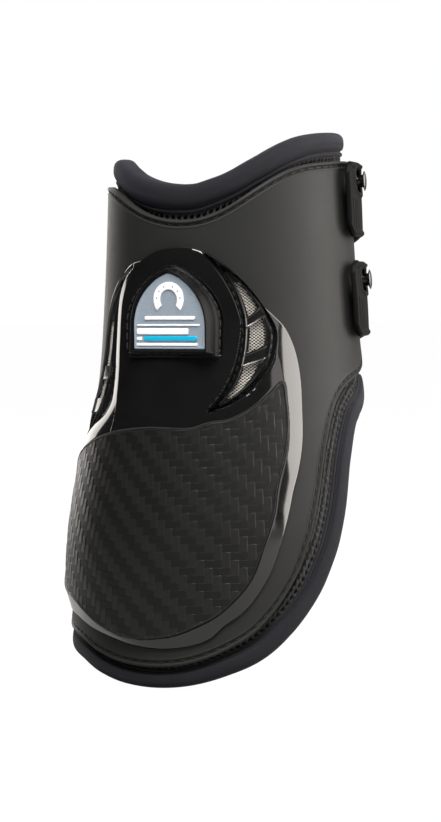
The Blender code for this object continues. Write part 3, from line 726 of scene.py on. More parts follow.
def corner_grid(rows, insets, shares, half_turn, radius):
    """Rows laid over columns at shares of -1 to 1, with the corners rounded."""
    turn_grid = np.empty((len(shares), len(rows)))
    z_grid = np.empty_like(turn_grid)
    for j, (row, inset) in enumerate(zip(rows, insets)):
        turn = half_turn * shares
        pull = -round_edge(inset, radius)
        scale = mm_per_degree(turn, row(turn))
        corner = 4 * radius / (half_turn * scale)
        fade = np.clip((np.abs(shares) - (1 - corner)) / corner, 0, 1)
        turn = turn - np.sign(shares) * pull * fade / scale
        turn_grid[:, j], z_grid[:, j] = turn, row(turn)
    return turn_grid, z_grid


def even(edge, half_turn, count, out):
    """Turns that step evenly along an edge."""
    fine = np.linspace(-half_turn, half_turn, 1500)
    points = surf(fine, edge(fine), out)
    run = np.concatenate([[0], np.cumsum(np.linalg.norm(np.diff(points, axis=0), axis=1))])
    return np.interp(np.linspace(0, run[-1], count), run, fine)


def roll_radius(turn):
    return 3.3 + 0.9 * ridge(turn, -5, 45)


def low_roll_radius(turn):
    return 3.0 - 0.8 * ridge(turn, 2, 35)


def spacer_top(turn):
    return collar_top(turn) - 2 * roll_radius(turn)


# ---------------------------------------------------------------- vent lines
# (turn, z) by side: pocket's inner edge, frame's inner rim, its outer rim, pocket's outer edge
VENT_LINES = {
    1: ([(19.0, 90.6), (24.8, 96.5), (29, 103.2), (31.5, 110.8), (32.2, 117.8),
         (30, 124.5), (26.2, 130.5), (22.2, 135), (17.6, 138.8)],
        [(23.4, 92.6), (29.0, 98.2), (32.3, 104.8), (34.0, 112.2), (33.9, 119.6),
         (31.0, 127.4), (26.4, 133.0)],
        [(24.2, 92.3), (31.5, 96.2), (38.0, 101.2), (42.6, 107.2), (44.1, 114.8),
         (41.4, 121.6), (34.6, 128.4), (27.3, 133.4)],
        [(19.4, 90.0), (27.5, 92.2), (35.2, 96.2), (40.7, 101), (44.8, 106), (46.8, 113.8),
         (45, 118.2), (41, 123), (34.2, 129.8), (26.5, 135.2), (18.4, 139.3)]),
    -1: ([(-46.5, 81.5), (-40.5, 85.5), (-35.6, 90.5), (-31.8, 95.8), (-29.6, 101),
          (-28.6, 106), (-28.2, 112), (-27.8, 118), (-26.8, 123.5), (-24, 128.8),
          (-20, 132.6), (-15.4, 135.1)],
         [(-45.8, 83.6), (-40.5, 88.0), (-36.2, 92.8), (-33.2, 98.0), (-31.4, 103.5),
          (-30.4, 109.5), (-29.9, 115.5), (-28.8, 121.5), (-25.4, 128.0)],
         [(-46.6, 83.4), (-46.3, 88.0), (-43.6, 93.0), (-40.0, 98.5), (-37.9, 104.0),
          (-36.6, 110.0), (-35.5, 116.0), (-33.4, 122.3), (-26.4, 129.2)],
         [(-47.3, 81.2), (-48.8, 85.5), (-47.6, 90), (-45, 94.5), (-41.8, 99.5),
          (-39.6, 104.5), (-38.4, 109.5), (-37.6, 114.5), (-36.4, 119.5), (-34, 124.5),
          (-29.5, 129.5), (-23.5, 133.2), (-16.2, 135.9)])}
VENT_SPINES = {sign: [spine(line) for line in lines] for sign, lines in VENT_LINES.items()}


def vent_ring(sign):
    """The vent pocket's closed outline."""
    share = np.linspace(0, 1, 60)
    inner, outer = VENT_SPINES[sign][0], VENT_SPINES[sign][-1]
    return [np.concatenate([inner[k](share)[::-1], outer[k](share)]) for k in (0, 1)]


# ---------------------------------------------------------------- shell
SHELL_THICK, SHELL_ROUND, SHELL_CORNER = 2.4, 0.4, 8.0
SHELL_GROOVE = 1.5      # edge to the stitched groove
SHELL_LAP = 3.0         # how far the shell reaches under the vent pockets


def build_shell():
    """The moulded shell; returns its closed edge line."""
    insets = np.concatenate([np.linspace(0, 0.4, 5), np.linspace(0.5, 3.3, 23)])
    rows = parallel_rows(shell_bottom, shell_top, insets, insets, 96)
    row_insets = np.concatenate([insets, np.full(96, 50.0), insets[::-1]])
    # columns crowd towards the front edges; 92 mm is the nominal half girth
    side = np.concatenate([np.linspace(0, 0.4, 5), np.linspace(0.5, 3.3, 20)])
    side = 1 - side / 92.0
    shares = np.concatenate([-side, np.linspace(-side[-1], side[-1], 320)[1:-1],
                             side[::-1]])
    turn, z = corner_grid(rows, row_insets, shares, EDGE_TURN, SHELL_CORNER)
    ring_turn, ring_z = [np.concatenate([grid[:, 0], grid[-1, 1:], grid[-2::-1, -1],
                                         grid[0, -2:0:-1]]) for grid in (turn, z)]
    edge = line_distance(turn, z, closed(ring_turn), closed(ring_z))
    # a lip, the stitched groove and a fine ridge follow the edges
    relief = 0.20 * ridge(edge, 0.62, 0.3, 4) - 0.50 * ridge(edge, SHELL_GROOVE, 0.45, 4) \
        + 0.10 * ridge(edge, 2.35, 0.28) + round_edge(edge, SHELL_ROUND)
    cell_turn, cell_z = [(grid[:-1, :-1] + grid[1:, 1:]) / 2 for grid in (turn, z)]
    keep = np.ones(cell_turn.shape, bool)
    for sign in (1, -1):
        vent_turn, vent_z = vent_ring(sign)
        near = (np.abs(cell_turn - vent_turn.mean()) < 30) & (cell_z > 86) & (cell_z < 142)
        inside = np.full(cell_turn.shape, -9.0)
        inside[near] = signed_distance(cell_turn[near], cell_z[near], vent_turn, vent_z)
        keep &= inside < SHELL_LAP
    shell = grid_solid("moulded_shell", turn, z, relief,
                       -SHELL_THICK - round_edge(edge, SHELL_ROUND), SHELL, keep)
    done(shell, "shell_tpu", "outer_shell")
    return ring_turn, ring_z


def stitch_shell_edge(ring_turn, ring_z):
    """Stitches in the groove, where the inset line stays clear of the edge."""
    scale = mm_per_degree(ring_turn, ring_z)
    step_turn = np.roll(ring_turn, -1) - np.roll(ring_turn, 1)
    step_z = np.roll(ring_z, -1) - np.roll(ring_z, 1)
    size = np.hypot(step_turn * scale, step_z) + 1e-9
    turn = ring_turn - SHELL_GROOVE * step_z / size / scale
    z = ring_z + SHELL_GROOVE * step_turn * scale / size
    clear = line_distance(turn, z, closed(ring_turn), closed(ring_z)) > SHELL_GROOVE - 0.12
    stitches("shell_edge_stitching", closed(turn[clear]), closed(z[clear]), -0.5,
             length=2.3, gap=1.3, radius=0.26, lift=0.04)


# ---------------------------------------------------------------- linings
def knit(run, band):
    """Open mesh: staggered holes between zigzag ribs, in mm of relief."""
    pitch, row_pitch = 2.3, 2.0
    x, y = staggered(run, band, pitch, row_pitch)
    hole = np.exp(-((x / 0.72) ** 2 + (y / 0.62) ** 2) ** 1.5)
    zig = np.abs(((run / pitch * 2 + band / row_pitch) % 1) - 0.5) * 2
    zag = np.abs(((run / pitch * 2 - band / row_pitch) % 1) - 0.5) * 2
    return -1.15 * hole + 0.34 * np.maximum(zig, zag) ** 2


def build_lining():
    """Knitted spacer lining; fine relief only where it shows near both edges."""
    low_insets, high_insets = np.linspace(0, 12.0, 44), np.linspace(0, 8.5, 30)
    rows = parallel_rows(offset_edge(shell_bottom, lambda turn: low_band(turn) + 0.4),
                         lambda turn: spacer_top(turn) - 0.15, low_insets, high_insets, 6)
    from_low = np.concatenate([low_insets, np.full(36, 90.0)])
    from_high = np.concatenate([np.full(50, 90.0), high_insets[::-1]])
    band = np.minimum(from_low, from_high)
    shares = np.linspace(-1, 1, 760)
    turn, z = corner_grid(rows, band, shares, EDGE_TURN - 0.4, 2.5)
    steps = np.linalg.norm(np.diff(guide(turn, z), axis=0), axis=-1)
    run = np.cumsum(np.concatenate([np.zeros((1, turn.shape[1])), steps]), 0)
    relief = knit(run, band) * (band < 40)
    # below the shell the band bulges; under the shell it lies back
    table = np.linspace(-122, 122, 245)
    gap = np.interp(turn, table, low_band(table))
    bulge = (from_low < 50) * (1 - smoothstep(gap - 0.9, gap + 0.5, band)) \
        * smoothstep(2.2, 4.2, gap)
    outer = -3.35 + 1.35 * bulge + relief + round_edge(np.minimum(band, 5), 0.8)
    # pit marks the holes that the knit material paints near black as painted shade
    lining = grid_solid("spacer_knit_lining", turn, z, outer, -6.7, KNIT,
                        pit=np.clip(-relief, 0, 1))
    done(lining, "spacer_knit", "spacer_mesh_lining")


def build_liner():
    """Liner with pressed dimples on the leg side."""
    insets = np.linspace(0, 3, 6)
    rows = parallel_rows(offset_edge(shell_bottom, lambda turn: low_band(turn) - 1.0),
                         lambda turn: spacer_top(turn) - 1.2, insets, insets, 150)
    row_insets = np.concatenate([insets, np.full(150, 9.0), insets[::-1]])
    turn, z = corner_grid(rows, row_insets, np.linspace(-1, 1, 240), EDGE_TURN, 2.5)
    x, y = staggered(turn * 0.62, z, 6.0, 5.2)
    dimple = np.exp(-((x / 1.15) ** 2 + (y / 1.15) ** 2) ** 2)
    inner = -9.6 + 0.9 * dimple - round_edge(row_insets, 0.8)
    liner = grid_solid("perforated_liner", turn, z, -7.6, inner, LINER)
    done(liner, "neoprene", "neoprene_liner")


# (turn, z)
GEL_OUTLINE = [
    (46, 75), (44, 110), (30, 128), (0, 132), (-30, 128), (-44, 110), (-52, 75), (-44, 44),
    (-20, 31), (5, 28), (24, 36), (38, 52)]


def build_gel():
    """Gel pad with domed cells towards the leg."""
    pad = Outline(GEL_OUTLINE, (0, 78))
    turn, z = pad.grid(170)
    edge = pad.signed(turn, z)
    x, y = staggered(turn * 0.62, z, 7.0, 6.1)
    dome = np.clip(1 - (np.sqrt(x**2 + y**2) / 2.7) ** 2, 0, 1) ** 0.6
    inner = -11.6 - 0.9 * dome * smoothstep(2, 4, edge) - round_edge(edge, 1.2)
    gel = grid_solid("gel_pad", turn, z, -10.1, inner, GEL)
    done(gel, "gel", "gel_insert")


# ------------------------------------------------- rolls, piping and bindings
def roll(name, node, turn, z, out, half_height, half_depth, seam_angle, seam_depth):
    """A padded roll: one folded strip of neoprene with a pressed seam line."""
    path = surf(turn, z, out)
    normals = outward(turn, z)
    count = len(turn)
    angles = ring_angles(40)
    cosine, sine = np.cos(angles), np.sin(angles)
    power = 2 / 2.6     # a squarer section than an ellipse
    across = (np.sign(cosine) * np.abs(cosine) ** power)[:, None]
    upward = (np.sign(sine) * np.abs(sine) ** power)[:, None]
    tangent = unit(np.gradient(path, axis=0))
    side = unit(normals - (normals * tangent).sum(1, keepdims=True) * tangent)
    rise = np.cross(side, tangent)
    random = np.random.default_rng(7)
    wobble = np.zeros(count)
    for k in range(1, 9):
        wobble += random.normal() / k * np.sin(
            k * np.linspace(0, 2 * math.pi, count) * 2.3 + random.uniform(0, 6))
    seam = ridge(np.angle(np.exp(1j * (angles - seam_angle))), 0, 0.09)
    stations = []
    for i, size, end in capped(count, np.sin(np.linspace(0, math.pi / 2, 9))[:-1]):
        back = math.sqrt(max(0.0, 1 - size * size)) * 0.75
        centre = path[i] + end * tangent[i] * half_height[i] * back * MM
        size = max(size, 0.03)
        height = half_height[i] * size * (1 + 0.012 * wobble[i])
        depth = half_depth[i] * size * (1 + 0.02 * wobble[i])
        pressed = (1 - seam_depth / half_depth[i] * seam)[:, None]
        points = centre + (across * side[i] * depth + upward * rise[i] * height) \
            * pressed * MM
        stations.append((centre, points, half_height[i]))
    done(sweep(name, stations, angles, NEOPRENE, order=(3, 2, 1, 0)), "neoprene", node)


def build_rolls():
    def top_middle(turn):
        return collar_top(turn) - roll_radius(turn)

    turn = even(top_middle, EDGE_TURN - 2, 300, -5.4)
    radius = roll_radius(turn)
    roll("upper_roll", "upper_collar_roll", turn, top_middle(turn), -5.4, radius,
         radius + 0.25, seam_angle=-0.85, seam_depth=0.30)
    low_middle = offset_edge(shell_bottom,
                             lambda turn: low_band(turn) + 0.35 + low_roll_radius(turn))
    turn = even(low_middle, EDGE_TURN - 3, 340, -3.4)
    radius = low_roll_radius(turn)
    roll("lower_roll", "lower_collar_roll", turn, low_middle(turn) + 0.15, -3.4,
         radius + 0.3, radius + 0.1, seam_angle=0.80, seam_depth=0.28)


def build_piping():
    """Piping beads along both rolls, and the seam stitches over the upper one."""
    turn = even(lambda turn: spacer_top(turn) - 0.35, EDGE_TURN - 2, 300, -3.4)
    bead = tube("upper_piping_bead", surf(turn, spacer_top(turn) - 0.35, -3.2),
                (0.75, 0.75), CORD, ring=18)
    done(bead, "piping", "upper_piping")
    stitches("upper_seam_stitching", turn, spacer_top(turn) + 1.25, -2.75,
             length=1.7, gap=1.3, radius=0.22)
    low_line = offset_edge(shell_bottom, lambda turn: low_band(turn) - 0.75)
    turn = even(low_line, EDGE_TURN - 3, 340, -3.2)
    out = -2.9 + 1.1 * smoothstep(2.2, 4.2, low_band(turn))
    bead = tube("lower_piping_bead", surf(turn, low_line(turn) - 0.55, out), (0.5, 0.5),
                CORD, ring=16)
    done(bead, "piping", "lower_piping")


def build_bindings():
    """Folded bindings down the two front edges."""
    for side, sign in SIDES:
        z = np.linspace(float(shell_bottom(sign * EDGE_TURN)) + 5.0,
                        float(shell_top(sign * EDGE_TURN)) - 5.0, 120)
        turn = np.full(z.shape, sign * (EDGE_TURN + 1.4))
        fold = tube("front_binding_fold_" + side, surf(turn, z, -6.9), (2.9, 0.95),
                    ELASTIC, ring=28, flat=outward(turn, z))
        done(fold, "elastic", "front_binding_" + side)


# --------------------------------------------------------------- strike guard
# (turn, z) outlines
GUARD = Outline([
    (57, 91), (57, 104), (55, 110.5), (51, 116.5), (46.4, 120), (40, 124.4), (33, 131),
    (26.2, 135.9), (21.6, 138.2), (18, 139.9), (13, 140.9), (5.5, 141.2), (0, 140.7),
    (-4, 139.9), (-7.9, 138.6), (-11.4, 137.3), (-16.8, 136.6), (-24, 133.9),
    (-30.2, 130.3), (-34.9, 125.1), (-37.4, 119.8), (-38.6, 114.5), (-39.4, 109.5),
    (-40.7, 104.3), (-43.2, 99.2), (-48.2, 92.2), (-56.5, 84.6), (-64, 78.5), (-70, 69),
    (-73, 55), (-71, 41), (-64, 32), (-50, 26.5), (-38, 25), (-28, 23), (-17, 21),
    (-4, 19), (9, 19), (21, 22), (26, 26), (32, 30), (40, 40), (45, 51), (50, 65),
    (53, 72), (56, 82)], (-5, 75))
PANEL_OUTLINE = [
    (49, 86), (49, 93), (47, 99), (43, 96), (37, 92), (28, 88), (21, 87), (13, 85), (5, 85),
    (-5, 85), (-16, 84), (-29, 82), (-40, 79), (-50, 76), (-60, 71), (-66, 63), (-68, 52),
    (-66, 42), (-59, 35), (-48, 32), (-39, 31), (-32, 29), (-21, 25), (-9, 22), (3, 22),
    (9, 23), (17, 26), (23, 29), (29, 34), (34, 40), (37, 47), (39, 52), (42, 60),
    (44, 69), (47, 77)]
PANEL_CENTRE = (10, 45)
# the raised arch between the vents, round the badge
ARCH = [
    (19.0, 88.0), (24.4, 96.5), (28.6, 103.2), (31.1, 110.8), (31.8, 117.8), (29.6, 124.5),
    (25.8, 130.5), (21.8, 135), (17.2, 138.9), (11, 140.7), (5.5, 141.0), (0, 140.6),
    (-4, 139.9), (-7.9, 138.4), (-11.8, 136.2), (-15.5, 133.4), (-19.2, 129), (-21.4, 124),
    (-22.0, 118), (-22.0, 110), (-21.6, 102), (-21.6, 95), (-22.0, 88), (-22, 78), (0, 74),
    (19, 76)]
ARCH_LINE = [axis(np.linspace(0, 1, 260)[:-1]) for axis in spine(ARCH + ARCH[:1])]
GUARD_HIGH, GUARD_LOW = 2.75, 0.7   # face heights at the arch and at the thin edge

# the badge lies in a flat plane facing -Y: x from the leg's axis, design height z
BADGE_X, BADGE_HALF = 3.2, 12.4
BADGE_BASE, BADGE_SPRING, BADGE_TOP = 109.8, 117.0, 133.2
BADGE_Y = -49.0957      # the badge's face, from the leg's axis


def badge_ring(grow):
    """The badge's outline, square below and arched above, grown by some mm."""
    half, base, top = BADGE_HALF + grow, BADGE_BASE - grow, BADGE_TOP + grow
    angle = np.linspace(0, 1, 40) * math.pi / 2
    x = half * np.cos(angle) ** 1.35
    z = BADGE_SPRING + (top - BADGE_SPRING) * np.sin(angle)
    base_x = np.linspace(-half, half, 24)[:-1]
    side_z = np.linspace(base, BADGE_SPRING, 14)[:-1]
    ring_x = np.concatenate([base_x, np.full(13, half), x, -x[-2::-1], np.full(13, -half)])
    ring_z = np.concatenate([np.full(23, base), side_z, z, z[-2::-1], side_z[::-1]])
    return ring_x + BADGE_X, ring_z


def turn_at(x, z):
    return np.degrees(np.arcsin(np.clip(x / half_width(z), -1, 1)))


def beyond_badge(turn, z, out):
    """How far in mm a sheet point stands beyond the badge's face, towards -Y."""
    return -(surf(turn, z, out)[..., 1] / MM - AXIS_Y - BADGE_Y)


def build_guard():
    """Gloss guard with openings for the panel, the badge and the vents."""
    turn, z = GUARD.grid(300, dense=-0.12)
    rim = GUARD.signed(turn, z)
    in_guard = rim > 0
    rim = np.maximum(rim, 0)
    in_panel = Outline(PANEL_OUTLINE, PANEL_CENTRE).signed(turn, z)
    in_arch = signed_distance(turn, z, *ARCH_LINE)
    in_vents = [signed_distance(turn, z, *vent_ring(sign)) for sign in (1, -1)]
    in_bezel = signed_distance(half_width(z) * np.sin(np.radians(turn)), z,
                               *badge_ring(2.4), flat=True)
    to_panel, to_arch = np.maximum(-in_panel, 0), np.maximum(-in_arch, 0)

    wing = GUARD_LOW + 1.95 * rim / np.maximum(rim + to_panel, 1e-6)
    # the lateral wing is one even facet down past the vent, with a short
    # chamfer where the arch stands above it
    even_wing = np.minimum(GUARD_LOW + 0.262 * rim, 2.65)
    lateral = wing + (even_wing - wing) * smoothstep(76, 92, z)
    chamfer = GUARD_HIGH - 0.95 * to_arch
    blend = 0.12
    lateral = blend * np.logaddexp(lateral / blend, chamfer / blend)
    # on the medial flank the arch falls away in a flat facet to the vent, and
    # the facet runs on down into the wing
    facet = GUARD_HIGH - 0.34 * to_arch
    medial = np.clip(facet + (wing - facet) * smoothstep(96, 82, z), GUARD_LOW, GUARD_HIGH)
    wing = lateral + (medial - lateral) * smoothstep(-6, -14, turn) * smoothstep(70, 78, z)
    height = np.where(in_arch > 0, GUARD_HIGH, np.minimum(wing, GUARD_HIGH))
    # the arch flattens towards the badge so that the bezel sits low on it
    lift = np.clip(beyond_badge(turn, z, 0.0) - 2.0, 0, 3.2) \
        * smoothstep(8.5, 0.5, -in_bezel) * smoothstep(0.2, 3.5, in_arch)
    height = height + np.clip(lift - GUARD_HIGH, 0, None) + round_edge(rim, 0.6)
    # it dips under the panel's edge, the vents and the bezel
    height = draw_to(height, 2.2, smoothstep(-0.5, 0.45, in_panel) * in_guard)
    height = draw_to(height, 0.45, smoothstep(0.5, 1.5, in_panel))
    for in_vent in in_vents:
        height = draw_to(height, 0.25, smoothstep(-0.05, 0.6, in_vent))
    height = draw_to(height, 0.6, smoothstep(0.3, 1.0, in_bezel))
    height = np.maximum(height, 0.12)
    keep = (cells(in_panel) < 2.2) & (cells(in_bezel) < 2.2) & \
        (cells(in_vents[0]) < 1.3) & (cells(in_vents[1]) < 1.3)
    guard = grid_solid("gloss_strike_guard", turn, z, height, 0.02, GLOSS, keep, sharp=42)
    done(guard, "guard_gloss", "strike_guard_frame")


def build_panel():
    """Carbon-look panel: 2/2 twill in relief."""
    outline = Outline(PANEL_OUTLINE, PANEL_CENTRE, grow=-0.02)
    turn, z = outline.grid(400)
    edge = outline.signed(turn, z)
    tow_width = 2.3
    x, y = turn * 0.84 / tow_width, z / tow_width
    column, row = np.floor(x), np.floor(y)
    phase = (column + row) % 4
    is_warp = phase < 2
    part_x, part_y = x - column, y - row
    # places along each two-cell float, whose ends dip under their neighbours
    warp_place = np.where(phase < 1, part_y, part_y + 1)
    weft_place = np.where(phase < 3, part_x, part_x + 1)

    def crease(place, span, width):
        return ridge(np.minimum(place, span - place), 0, width)

    # each tow lies a little tilted: warp across the leg, weft up it
    warp = 0.03 + 0.14 * part_x - 0.03 * crease(warp_place, 2, 0.16) \
        - 0.012 * crease(part_x, 1, 0.09)
    weft = 0.02 + 0.05 * part_y - 0.025 * crease(weft_place, 2, 0.16) \
        - 0.012 * crease(part_y, 1, 0.09)
    woven = smoothstep(0.32, 0.62, edge)
    height = 2.56 + np.where(is_warp, warp, weft) * woven + 0.30 * (1 - woven) \
        + round_edge(edge, 0.22)
    # tow also paints the warp lighter in the carbon material, a painted reflection, besides
    # its gloss
    panel = grid_solid("twill_panel", turn, z, height, 0.55, CARBON, sharp=60,
                       tow=np.where(is_warp, 1.0, 0.0) * woven)
    done(panel, "carbon_weave", "carbon_strike_panel")


# ---------------------------------------------------------------------- vents
# each bar's lower and upper edge, as (z on the inner rim, z on the outer rim)
BARS = {1: ((104.2, 106.6), (107.9, 111.6), (116.2, 120.2), (119.0, 123.0)),
        -1: ((89.5, 88.8), (94.0, 93.2), (100.2, 99.6), (104.2, 103.8))}
# shares of the frame where its first window starts and its last one ends
WINDOW_ENDS = {1: (0.07, 0.90), -1: (0.06, 0.80)}
# grid steps up the frame: end, window, bar, window, bar, window, end
BAND_STEPS = [12, 26, 12, 26, 12, 26, 12]
# grid across the vent: 0-1 inner channel, 1-2 frame, 2-3 outer channel
ACROSS = np.concatenate([
    np.linspace(0, 1, 13)[:-1],
    1 + np.linspace(0, 0.16, 8)[:-1],
    1 + np.linspace(0.16, 0.80, 17)[:-1],
    1 + np.linspace(0.80, 1, 9)[:-1],
    2 + np.linspace(0, 1, 13)])
WIRE_X, WIRE_Z, WIRE_SCALE = 0.60, 0.46, 0.73   # half diamonds in mm; mm per degree


def share_at(height_of, z):
    """The share along a spine where it reaches a height."""
    share = np.linspace(0, 1, 400)
    return float(np.interp(z, height_of(share), share))


def across_vent(sign, across, inner_share, outer_share):
    """(turn, z) over the vent: pocket edge, inner rim, outer rim, pocket edge."""
    share = inner_share + (outer_share - inner_share) * np.clip(across - 1, 0, 1)
    lines = [(line[0](share), line[1](share)) for line in VENT_SPINES[sign]]
    strip = np.clip(np.floor(across), 0, 2)
    part = across - strip
    place = [0.0, 0.0]
    for i in range(3):
        for k in (0, 1):
            near, far = lines[i][k], lines[i + 1][k]
            place[k] = np.where(strip == i, near + (far - near) * part, place[k])
    return place


def build_vent_frame(side, sign):
    """Grille frame: two bars between three windows, in a stitched channel."""
    inner_rim, outer_rim = VENT_SPINES[sign][1], VENT_SPINES[sign][2]
    start, end = WINDOW_ENDS[sign]
    keys = [(0.0, 0.0), (start, start)] \
        + [(share_at(inner_rim[1], z_in), share_at(outer_rim[1], z_out))
           for z_in, z_out in BARS[sign]] + [(end, end), (1.0, 1.0)]
    shares = np.concatenate(
        [np.linspace(low, high, count, endpoint=False)
         for low, high, count in zip(keys, keys[1:], BAND_STEPS)] + [[keys[-1]]])
    across = ACROSS[:, None]
    turn, z = across_vent(sign, across, shares[:, 0], shares[:, 1])
    frame_x = across - 1
    lips = 1 - smoothstep(0.09, 0.24, across) + smoothstep(2.76, 2.91, across)
    rims = 0.75 * ridge(frame_x, -0.06, 0.07) + 0.75 * ridge(frame_x, 1.02, 0.06)
    in_frame = smoothstep(-0.14, -0.02, frame_x) * (1 - smoothstep(1.04, 1.16, frame_x))
    band = np.repeat(np.arange(7), BAND_STEPS)
    is_bar = np.isin(np.append(band, 6), (2, 4))
    bar_bounds = np.cumsum(BAND_STEPS)[1:5]
    bar_edge = ridge(np.arange(len(shares))[:, None], bar_bounds, 1.2).max(1)
    face = 1.55 + 0.15 * is_bar + 0.22 * bar_edge
    height = 0.75 + (face - 0.75) * in_frame + rims + 2.0 * lips \
        + round_edge(np.minimum(across, 3 - across) * 1.6, 0.16)
    if sign < 0:
        # the medial frame leans back with the arch's facet
        height = 0.30 + (height - 0.30) * (0.72 - 0.3 * lips)
    in_window = (ACROSS[:-1] > 1.155) & (ACROSS[:-1] < 1.79)
    keep = ~(in_window[:, None] & np.isin(band, (1, 3, 5)))
    if sign < 0:
        # keep the faces turned outwards
        turn, z, height, keep = turn[::-1], z[::-1], height[::-1], keep[::-1]
    grille = grid_solid("vent_grille_" + side, turn, z, height, 0.18, RIM, keep, sharp=38)
    done(grille, "guard_gloss", "vent_frame_" + side)


def stitch_vent(side, sign):
    share = np.linspace(0.08, 0.94, 120)
    for tag, across in (("inner", 0.5), ("outer", 2.5)):
        turn, z = across_vent(sign, across, share, share)
        stitches("vent_stitching_%s_%s" % (tag, side), turn, z, 0.75 if sign > 0 else 0.62,
                 length=2.0, gap=0.9, radius=0.22)


def build_vent_wire(side, sign):
    """Woven wire behind the windows, as a lattice of diamonds."""
    share = np.linspace(0.03, 0.97, 60)
    near = across_vent(sign, 0.85, share, share)
    far = across_vent(sign, 2.15, share, share)
    edge_turn, edge_z = [np.concatenate([near[k][::-1], far[k]]) for k in (0, 1)]
    columns = np.arange(int(edge_turn.min() * WIRE_SCALE / WIRE_X) - 1,
                        int(edge_turn.max() * WIRE_SCALE / WIRE_X) + 2)
    rows = np.arange(int(edge_z.min() / WIRE_Z) - 1, int(edge_z.max() / WIRE_Z) + 2)
    i, j = np.meshgrid(columns, rows, indexing="ij")
    is_centre = (i + j) % 2 == 0
    i, j = i[is_centre], j[is_centre]
    inside = inside_poly((i * WIRE_X) / WIRE_SCALE, j * WIRE_Z, edge_turn, edge_z)
    corners, quads = {}, []
    for column, row in zip(i[inside], j[inside]):
        quads.append([corners.setdefault((column + di, row + dj), len(corners))
                      for di, dj in ((0, -1), (1, 0), (0, 1), (-1, 0))])
    points = np.array(list(corners), float)
    weave = 0.10 * np.where((points[:, 0] % 2) == 0, 1, -1)
    verts = surf(points[:, 0] * WIRE_X / WIRE_SCALE, points[:, 1] * WIRE_Z, 0.52 + weave)
    net = new_mesh("vent_wire_" + side, verts, quads, mat=STEEL, sharp=80)
    wire = net.modifiers.new("wire", 'WIREFRAME')
    wire.thickness = 0.00027
    wire.use_even_offset = False
    wire.use_boundary = True
    bpy.context.view_layer.update()
    graph = bpy.context.evaluated_depsgraph_get()
    solid = bpy.data.meshes.new_from_object(net.evaluated_get(graph))
    net.modifiers.clear()
    net.data = solid
    done(net, "vent_mesh", "vent_mesh_" + side)


# ---------------------------------------------------------------------- badge
def flat_point(x, z, rise):
    """World metres of a point on the badge's plane, raised by some mm."""
    x, z, rise = np.broadcast_arrays(x, z, rise)
    return np.stack([AXIS_X + x, AXIS_Y + BADGE_Y - rise, z - FLOOR_Z], -1) * MM


def tidy(obj):
    """Triangulate large lids and turn all faces outwards."""
    work = bmesh.new()
    work.from_mesh(obj.data)
    lids = [face for face in work.faces if len(face.verts) > 8]
    if lids:
        bmesh.ops.triangulate(work, faces=lids)
    bmesh.ops.recalc_face_normals(work, faces=work.faces)
    work.to_mesh(obj.data)
    work.free()


def flat_relief(name, outline, mat, height, base, bevel, steps):
    """A raised flat shape with a rounded edge, from an outline in (x, z)."""
    x, z = np.asarray(outline, float).T
    if np.sum(x * np.roll(z, -1) - np.roll(x, -1) * z) < 0:
        x, z = x[::-1], z[::-1]
    step_x = np.roll(x, -1) - np.roll(x, 1)
    step_z = np.roll(z, -1) - np.roll(z, 1)
    size = np.hypot(step_x, step_z) + 1e-9
    in_x, in_z = -step_z / size, step_x / size
    layers = [(0.0, base), (0.0, height - bevel)]
    for angle in np.linspace(0, math.pi / 2, steps + 1)[1:]:
        layers.append((bevel * (1 - math.cos(angle)),
                       height - bevel + bevel * math.sin(angle)))
    verts = np.concatenate([flat_point(x + in_x * inset, z + in_z * inset, rise)
                            for inset, rise in layers])
    obj = new_mesh(name, verts, loft_faces(len(layers), len(x)), mat=mat, sharp=50)
    tidy(obj)
    done(obj, "badge")


# (grow from the badge's outline, height over its face), in mm
PLATE_PROFILE = [
    (0.0, -1.3), (0.0, -0.25), (-0.12, -0.08), (-0.3, 0.0), (-0.62, 0.0), (-0.8, -0.16),
    (-1.0, -0.2), (-3.0, -0.2), (-6.5, -0.2)]
BEZEL_PROFILE = [
    (0.22, -1.2), (0.22, 0.25), (0.34, 0.5), (0.55, 0.62), (0.78, 0.5), (0.9, 0.1),
    (1.02, -0.12), (1.75, -0.2), (1.9, 0.08), (2.08, 0.2), (2.3, 0.08), (2.42, -0.3),
    (2.5, -1.0)]
# (grow, out) of the skirt's rings down on the guard
BEZEL_SKIRT = [(2.55, 1.6), (0.25, 0.8)]


def build_plate():
    """Dished badge face inside a fine raised border."""
    rings = [flat_point(*badge_ring(grow), height) for grow, height in PLATE_PROFILE]
    plate = new_mesh("slate_badge_plate", np.concatenate(rings),
                     loft_faces(len(rings), len(rings[0])), mat=BADGE, sharp=50)
    done(plate, "badge", "badge_plate")


def bezel_drop(x, z, grow):
    """How far the bezel lies lower where the guard falls away at the sides."""
    guard = beyond_badge(turn_at(x, z), z, GUARD_HIGH)
    return np.clip(-guard - 0.9, 0, 9) * np.clip((grow - 0.8) / 1.7, 0, 1)


def build_bezel():
    """Rounded inner lip, channel and outer lip, with a skirt down to the guard."""
    rings = []
    for grow, height in BEZEL_PROFILE:
        x, z = badge_ring(grow)
        rings.append(flat_point(x, z, height - bezel_drop(x, z, grow)))
    for grow, out in BEZEL_SKIRT:
        x, z = badge_ring(grow)
        rings.append(surf(turn_at(x, z), z, out))
    faces = loft_faces(len(rings), len(rings[0]), order=(1, 0, 3, 2), loop=True)
    bezel = new_mesh("badge_surround", np.concatenate(rings), faces, mat=SATIN, sharp=40)
    tidy(bezel)
    done(bezel, "guard_gloss", "badge_bezel")


